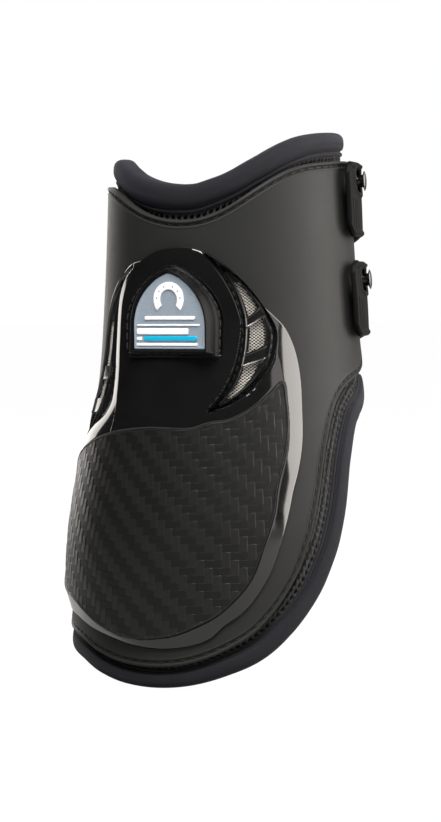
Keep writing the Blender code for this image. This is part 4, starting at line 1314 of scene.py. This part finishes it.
def stitch_bezel():
    """Stitches in the bezel's channel."""
    x, z = map(closed, badge_ring(1.4))
    turn = turn_at(x, z)
    rise = np.clip(-beyond_badge(turn, z, 0.0) - 0.2, -9, 9)
    out = (rise - bezel_drop(x, z, 1.4)) / np.maximum(-outward(turn, z)[:, 1], 0.3)
    out = np.where(out > 20, 0, out)
    stitches("bezel_stitching", turn, z, out + 0.05, length=2.2, gap=0.8, radius=0.18)


def bar(x_low, x_high, z_low, z_high, radius):
    """A bar's outline with rounded corners."""
    points = []
    for x, z, start in ((x_high - radius, z_low + radius, -90),
                        (x_high - radius, z_high - radius, 0),
                        (x_low + radius, z_high - radius, 90),
                        (x_low + radius, z_low + radius, 180)):
        for angle in np.radians(np.linspace(start, start + 90, 5)):
            points.append((x + radius * math.cos(angle), z + radius * math.sin(angle)))
    return points


SHOE_Z = 124.9
SHOE_OUTER, SHOE_INNER = 5.2, 3.0


def horseshoe():
    """A horseshoe's outline, open below."""
    outer = [(BADGE_X + SHOE_OUTER * math.cos(angle) * (1 + 0.05 * math.sin(angle)),
              SHOE_Z + SHOE_OUTER * 1.05 * math.sin(angle))
             for angle in np.linspace(-0.62, math.pi + 0.62, 44)]
    inner = [(BADGE_X + SHOE_INNER * math.cos(angle),
              SHOE_Z + SHOE_INNER * 1.08 * math.sin(angle))
             for angle in np.linspace(math.pi + 0.55, -0.55, 44)]
    return outer + inner


# name, (x_low, x_high, z_low, z_high, corner radius), material
EMBLEM_BARS = [
    ("emblem_rail", (-5.2, 12.2, 118.9, 119.9, 0.3), WHITE),
    ("emblem_line", (-7.9, 13.9, 117.0, 117.45, 0.15), WHITE),
    ("emblem_bar", (-8.0, 9.9, 114.4, 116.2, 0.3), WHITE),
    ("emblem_blue_stripe", (-5.6, 13.0, 112.45, 113.8, 0.6), CYAN),
    ("emblem_dot", (-8.0, -6.3, 112.6, 113.6, 0.25), WHITE),
    ("emblem_base_line", (-8.2, 13.0, 110.9, 111.7, 0.25), WHITE)]


def build_emblem():
    """A horseshoe with nails over plain bars and a blue stripe."""
    art = [("emblem_horseshoe", horseshoe(), WHITE)] \
        + [(name, bar(*sizes), mat) for name, sizes, mat in EMBLEM_BARS]
    for name, outline, mat in art:
        flat_relief(name, outline, mat, height=0.12, base=-0.45, bevel=0.1, steps=3)
    for i, angle in enumerate(np.radians([8, 38, 68, 112, 142, 172])):
        x, z = BADGE_X + 4.1 * math.cos(angle), SHOE_Z + 4.35 * math.sin(angle)
        spot = [(x + 0.3 * math.cos(around), z + 0.3 * math.sin(around))
                for around in ring_angles(14)]
        flat_relief("emblem_nail_%d" % i, spot, BADGE, height=0.16, base=-0.3, bevel=0.05,
                    steps=1)


# --------------------------------------------------------------------- straps
# middle height of each strap on the lateral and the medial side
STRAPS = {"upper": (156.0, 139.0), "lower": (124.3, 108.0)}
STRAP_HALF = 12.5
WEB_HALF, WEB_RIBS = 11.5, 11
STUD_TURN, STUD_RISE = 110.0, 6.0           # the stud's place, above the strap's middle
SLOT_HALF, SLOT_RADIUS, SLOT_SHIFT = 6.2, 3.6, 3.6  # mm, mm, degrees before the stud
BLADE_START, BLADE_END = 88.0, 158.0
TAB_START, TAB_END = -121.5, -98.0
RIVET_TURN = -105.5
# (radius, height) in mm, from the top down the outside
STUD_PROFILE = [
    (0, 5.15), (0.8, 5.13), (1.6, 5.05), (2.3, 4.92), (2.85, 4.74), (3.12, 4.58),
    (3.2, 4.44), (3.12, 4.32), (2.8, 4.22), (2.2, 4.05), (2.0, 3.8), (2.0, 2.1),
    (2.15, 1.95), (3.0, 1.9), (3.05, 1.7), (3.0, 1.35), (1.25, 1.3), (1.25, -3.55),
    (0, -3.55)]
RIVET_PROFILE = [
    (0, 4.4), (0.9, 4.38), (1.8, 4.28), (2.6, 4.08), (3.2, 3.8), (3.55, 3.5), (3.6, 3.3),
    (3.5, 3.15), (3.3, 3.05), (1.25, 3.0), (1.25, -3.55), (0, -3.55)]


def turned(name, profile, turn, z, node):
    """A turned metal part standing on the design sheet."""
    seat = surf(turn, z)
    axis = unit(outward(turn, z))
    across = unit(np.cross(np.array([0, 0, 1.0]), axis))
    up = np.cross(axis, across)
    angles = ring_angles(48)
    circle = np.cos(angles)[:, None] * across + np.sin(angles)[:, None] * up
    verts = np.concatenate([seat + (circle * max(radius, 0.01) + axis * height) * MM
                            for radius, height in profile])
    faces = loft_faces(len(profile), len(angles), order=(0, 3, 2, 1))
    done(new_mesh(name, verts, faces, mat=METAL, sharp=40), "rivet_metal", node)


def strip(columns, middle_z, half_heights, scale):
    """A grid over a strip: turn, z, share across of -1 to 1, and mm to the edge."""
    shares = np.sin(np.linspace(-math.pi / 2, math.pi / 2, 61))
    turn, across = np.meshgrid(columns, shares, indexing="ij")
    half = half_heights[:, None]
    z = np.broadcast_to(middle_z, columns.shape)[:, None] + across * half
    edge = np.minimum(np.minimum((1 - np.abs(across)) * half,
                                 (turn - columns[0]) * scale[0]),
                      (columns[-1] - turn) * scale[-1])
    return turn, z, across, edge


def bend(obj, node, turns, middle, out):
    """Hide the CAD part that a piece replaces and bake its transform; the end points worked
    out from turns, middle and out are not used.
    """
    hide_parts(node)
    start, end = [tuple(surf(turn, middle(turn), out)) for turn in turns]
    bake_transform(obj)


def stitch_across(name, turn, middle_z, half, out, length, body):
    z = np.linspace(-half, half, 60)
    stitches(name, np.full(z.shape, turn), middle_z + z, out, length=length, gap=0.6,
             radius=0.24, slot="elastic", body=body)


def build_blade(which, middle, stud_z):
    """Bowed TPU strap end: thick rim, rimmed slot, grip ribs at the free end
    and a thin flange that holds the elastic."""
    columns = np.concatenate([np.linspace(BLADE_START, BLADE_START + 9, 40)[:-1],
                              np.linspace(BLADE_START + 9, 146, 150)[:-1],
                              np.linspace(146, BLADE_END, 40)])
    middle_z = middle(columns)
    scale = mm_per_degree(columns, middle_z)
    half_heights = np.minimum(
        STRAP_HALF + round_edge((columns - BLADE_START) * scale[0], 6.0),
        STRAP_HALF - 0.6 + round_edge((BLADE_END - columns) * scale[-1], 4.0))
    turn, z, across, edge = strip(columns, middle_z, half_heights, scale)
    slot_x = (turn - (STUD_TURN - SLOT_SHIFT)) * mm_per_degree(turn, z)
    slot_z = z - stud_z
    to_slot = np.hypot(np.maximum(np.abs(slot_x) - SLOT_HALF + SLOT_RADIUS, 0),
                       slot_z) - SLOT_RADIUS
    on_shell = 1 - smoothstep(139, 147, turn)
    bow = 0.25 * smoothstep(102, BLADE_START, turn) * on_shell \
        + 0.2 * np.cos(across * math.pi / 2) * on_shell
    thick = 1.55 * on_shell + 1.1 * (1 - on_shell)
    inner = 1.75 * on_shell + 3.1 * (1 - on_shell) + bow
    rim = 0.22 * ridge(edge, 1.1, 0.6, 4) * on_shell
    lip = 0.45 * ridge(to_slot, 1.0, 0.55, 4)
    ribs = sum(0.5 * ridge((turn - at) * 0.68, 0, 0.45) for at in (91.6, 94.4, 97.2)) \
        * smoothstep(2.2, 3.2, edge) * (np.abs(slot_z) > 5.2)
    pressed = 0.22 * smoothstep(1.4, 2.2, edge) * on_shell
    inset = np.maximum(edge, 0)
    outer = inner + thick + rim + lip + ribs - pressed + round_edge(inset, 0.9) \
        + round_edge(np.maximum(to_slot, 0), 0.35)
    blade = grid_solid(which + "_strap_blade", turn, z, outer,
                       inner - round_edge(inset, 0.5), TPU, cells(to_slot) > 0.0, sharp=45)
    bend(blade, which + "_strap_tip",
         (147.5, 136.5), middle, 3.0)
    # stitches that hold the flange to the elastic
    for row in (150.2, 155.6):
        stitch_across("%s_flange_stitch_%d" % (which, int(row)), row, middle(row), 9.6,
                      4.28, length=1.5, body=which + "_band")


def build_webbing(which, middle):
    """Ribbed elastic with bound edges; its end lies lower under the anchor tab."""
    turn, across = np.meshgrid(np.linspace(142.8, 249.0, 330), np.linspace(-1, 1, 89),
                               indexing="ij")
    edge = (1 - np.abs(across)) * WEB_HALF
    rib = np.abs(np.sin(across * WEB_RIBS * math.pi / 2)) ** 0.6
    outer = 2.72 + 0.24 * rib * smoothstep(0.2, 1.2, edge) + round_edge(edge, 0.6) \
        + 0.12 * ridge(edge, 0.8, 0.5) + 0.05 * np.sin(turn * 2.2) \
        - 0.45 * smoothstep(239, 243, turn)
    web = grid_solid(which + "_elastic_webbing", turn, middle(turn) + across * WEB_HALF,
                     outer, 1.25 - round_edge(edge, 0.5), ELASTIC)
    bend(web, which + "_elastic_band",
         (242.5, 233.5), middle, 2.0)


def build_tab(which, medial_z):
    """Anchor tab: a moulded strip riveted over the end of the elastic."""
    columns = np.linspace(TAB_START, TAB_END, 90)
    scale = mm_per_degree(columns, medial_z)
    half_heights = STRAP_HALF - 0.5 + round_edge((TAB_END - columns) * scale, 5.0)
    turn, z, _, edge = strip(columns, medial_z, half_heights, scale)
    over = smoothstep(-108.5, -111.5, turn)
    outer = 3.05 + 0.3 * ridge(edge, 1.0, 0.55, 4) \
        + round_edge(np.maximum(edge, 0), 0.8) + 0.35 * over
    tab = grid_solid(which + "_anchor_strip", turn, z, outer, 0.42 + 2.45 * over, TPU,
                     sharp=45)
    done(tab, "strap_tpu", which + "_anchor_tab")
    stitch_across(which + "_anchor_stitch", -113.6, medial_z, 9.8, 3.44, length=1.6,
                  body="boot")


def build_stud(which, stud_z):
    """The hook stud on its oval plate."""
    centre_z = stud_z - 2.0
    oval = [(STUD_TURN + 8.0 * math.cos(angle), centre_z + 8.5 * math.sin(angle))
            for angle in ring_angles(32)]
    plate = Outline(oval, (STUD_TURN, centre_z), scale=0.66)
    turn, z = plate.grid(60)
    edge = plate.signed(turn, z)
    outer = 1.35 + 0.2 * ridge(edge, 1.0, 0.4) + round_edge(edge, 0.6)
    base = grid_solid(which + "_stud_base", turn, z, outer, 0.1, TPU)
    done(base, "strap_tpu", which + "_stud_plate")
    turned(which + "_hook_stud", STUD_PROFILE, STUD_TURN, stud_z, which + "_stud")


def build_strap(which, lateral_z, medial_z):
    def middle(turn):
        """The strap's middle height, which runs down round the front."""
        share = (np.asarray(turn, float) - 122) / 116
        return lateral_z + (medial_z - lateral_z) * np.clip(share, 0, 1)

    stud_z = lateral_z + STUD_RISE
    build_blade(which, middle, stud_z)
    build_webbing(which, middle)
    build_tab(which, medial_z)
    build_stud(which, stud_z)
    for tag, rise in (("a", 6.5), ("b", -6.5)):
        turned("%s_dome_rivet_%s" % (which, tag), RIVET_PROFILE, RIVET_TURN,
               medial_z + rise, "%s_anchor_rivet_%s" % (which, tag))


# ------------------------------------------------------------------ the boot
stitch_shell_edge(*build_shell())
build_lining()
build_liner()
build_gel()
build_rolls()
build_piping()
build_bindings()
build_guard()
build_panel()
for vent in SIDES:
    build_vent_frame(*vent)
    stitch_vent(*vent)
    build_vent_wire(*vent)
build_plate()
build_bezel()
build_emblem()
stitch_bezel()
for strap, heights in STRAPS.items():
    build_strap(strap, *heights)

# the washers inside keep their CAD shape
for node_name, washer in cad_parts.items():
    if "washer" in node_name:
        washer.data.materials.clear()
        washer.data.materials.append(METAL)

# ---------------------------------------------------------- floor and lights
scene = bpy.context.scene
scene.view_settings.view_transform = 'Standard'
scene.view_settings.look = 'None'
TARGET = Vector((AXIS_X, AXIS_Y, 90.0 - FLOOR_Z)) * MM


def build_floor():
    """A grey floor that the camera sees as nearly white."""
    mat, shader = material("pale_floor")
    shader.surface(Base_Color=(0.36, 0.36, 0.36, 1), Roughness=0.95,
                   Specular_IOR_Level=0.05)
    rays = shader.new("ShaderNodeLightPath")
    glow = shader.new("ShaderNodeEmission")
    shader.put(glow, Color=(1, 1, 1, 1), Strength=1.07)
    mix = shader.new("ShaderNodeMixShader")
    # the glow's share for camera rays
    share = shader.maths('MULTIPLY', rays.outputs["Is Camera Ray"], 0.92)
    for socket, value in enumerate((share, shader.bsdf.outputs[0], glow.outputs[0])):
        shader.feed(mix.inputs[socket], value)
    shader.put(shader.tree.nodes["Material Output"], Surface=mix.outputs[0])
    bpy.ops.mesh.primitive_circle_add(vertices=96, radius=6.0, fill_type='NGON',
                                      location=(0, 0, -0.0005))
    floor = bpy.context.object
    floor.name = "studio_floor"
    floor.data.materials.append(mat)


def build_world():
    """Dark towards -Y and pale towards +Y; white to the camera."""
    world = bpy.data.worlds.new("studio")
    scene.world = world
    world.use_nodes = True
    shader = Shader(world.node_tree)
    split = shader.new("ShaderNodeSeparateXYZ")
    shader.feed(split.inputs[0], shader.coords("Generated"))
    back = shader.maths('MULTIPLY_ADD', split.outputs[1], 0.5, 0.5)
    tone = shader.ramp(back, (0.30, (0.010, 0.010, 0.010)), (0.62, (0.04, 0.039, 0.037)),
                       (0.80, (0.28, 0.27, 0.255)), (1.0, (0.5, 0.48, 0.46)))
    rays = shader.new("ShaderNodeLightPath")
    colour = shader.mix_colour(rays.outputs["Is Camera Ray"], tone, (1, 1, 1, 1))
    shader.put(shader.tree.nodes["Background"], Color=colour, Strength=1.0)


def orbit(azimuth, elevation, distance):
    """A place round the target: degrees from -Y towards +X, degrees up, metres."""
    azimuth, elevation = math.radians(azimuth), math.radians(elevation)
    return TARGET + Vector((math.sin(azimuth) * math.cos(elevation),
                            -math.cos(azimuth) * math.cos(elevation),
                            math.sin(elevation))) * distance


def softbox(name, azimuth, elevation, distance, width, height, watts, colour):
    """A rectangular light facing the boot."""
    place = orbit(azimuth, elevation, distance)
    data = bpy.data.lights.new(name, 'AREA')
    data.shape = 'RECTANGLE'
    data.size, data.size_y = width, height
    data.energy = watts
    data.color = colour
    obj = bpy.data.objects.new(name, data)
    obj.location = place
    obj.rotation_euler = (TARGET - place).to_track_quat('-Z', 'Y').to_euler()
    scene.collection.objects.link(obj)


def build_camera():
    distance = 0.75
    view_height = 0.26775244    # metres seen at the target, top to bottom
    data = bpy.data.cameras.new("camera")
    data.sensor_fit = 'VERTICAL'
    data.sensor_height = 24.0
    data.lens = 24.0 * distance / view_height
    data.shift_x, data.shift_y = -0.017128954, -0.0067639903
    data.clip_start = 0.01
    obj = bpy.data.objects.new("camera", data)
    scene.collection.objects.link(obj)
    eye = orbit(azimuth=27.56, elevation=3.11, distance=distance)
    look = (TARGET - eye).to_track_quat('-Z', 'Y').to_matrix().to_4x4()
    tilt = Matrix.Rotation(math.radians(-0.58), 4, 'Z')
    obj.matrix_world = Matrix.Translation(eye) @ look @ tilt
    scene.camera = obj


build_floor()
build_world()
WARM = (1.0, 0.955, 0.905)
softbox("right_box", azimuth=80, elevation=10, distance=0.9, width=0.5, height=0.85,
        watts=3, colour=WARM)
softbox("wing_box", azimuth=117, elevation=12, distance=0.42, width=0.27, height=0.56,
        watts=3.9, colour=WARM)
softbox("left_box", azimuth=-130, elevation=8, distance=0.9, width=0.84, height=0.9,
        watts=6.5, colour=WARM)
softbox("top_key", azimuth=25, elevation=62, distance=1.1, width=0.7, height=0.5,
        watts=26, colour=(1, 0.99, 0.98))
build_camera()

bpy.context.view_layer.update()
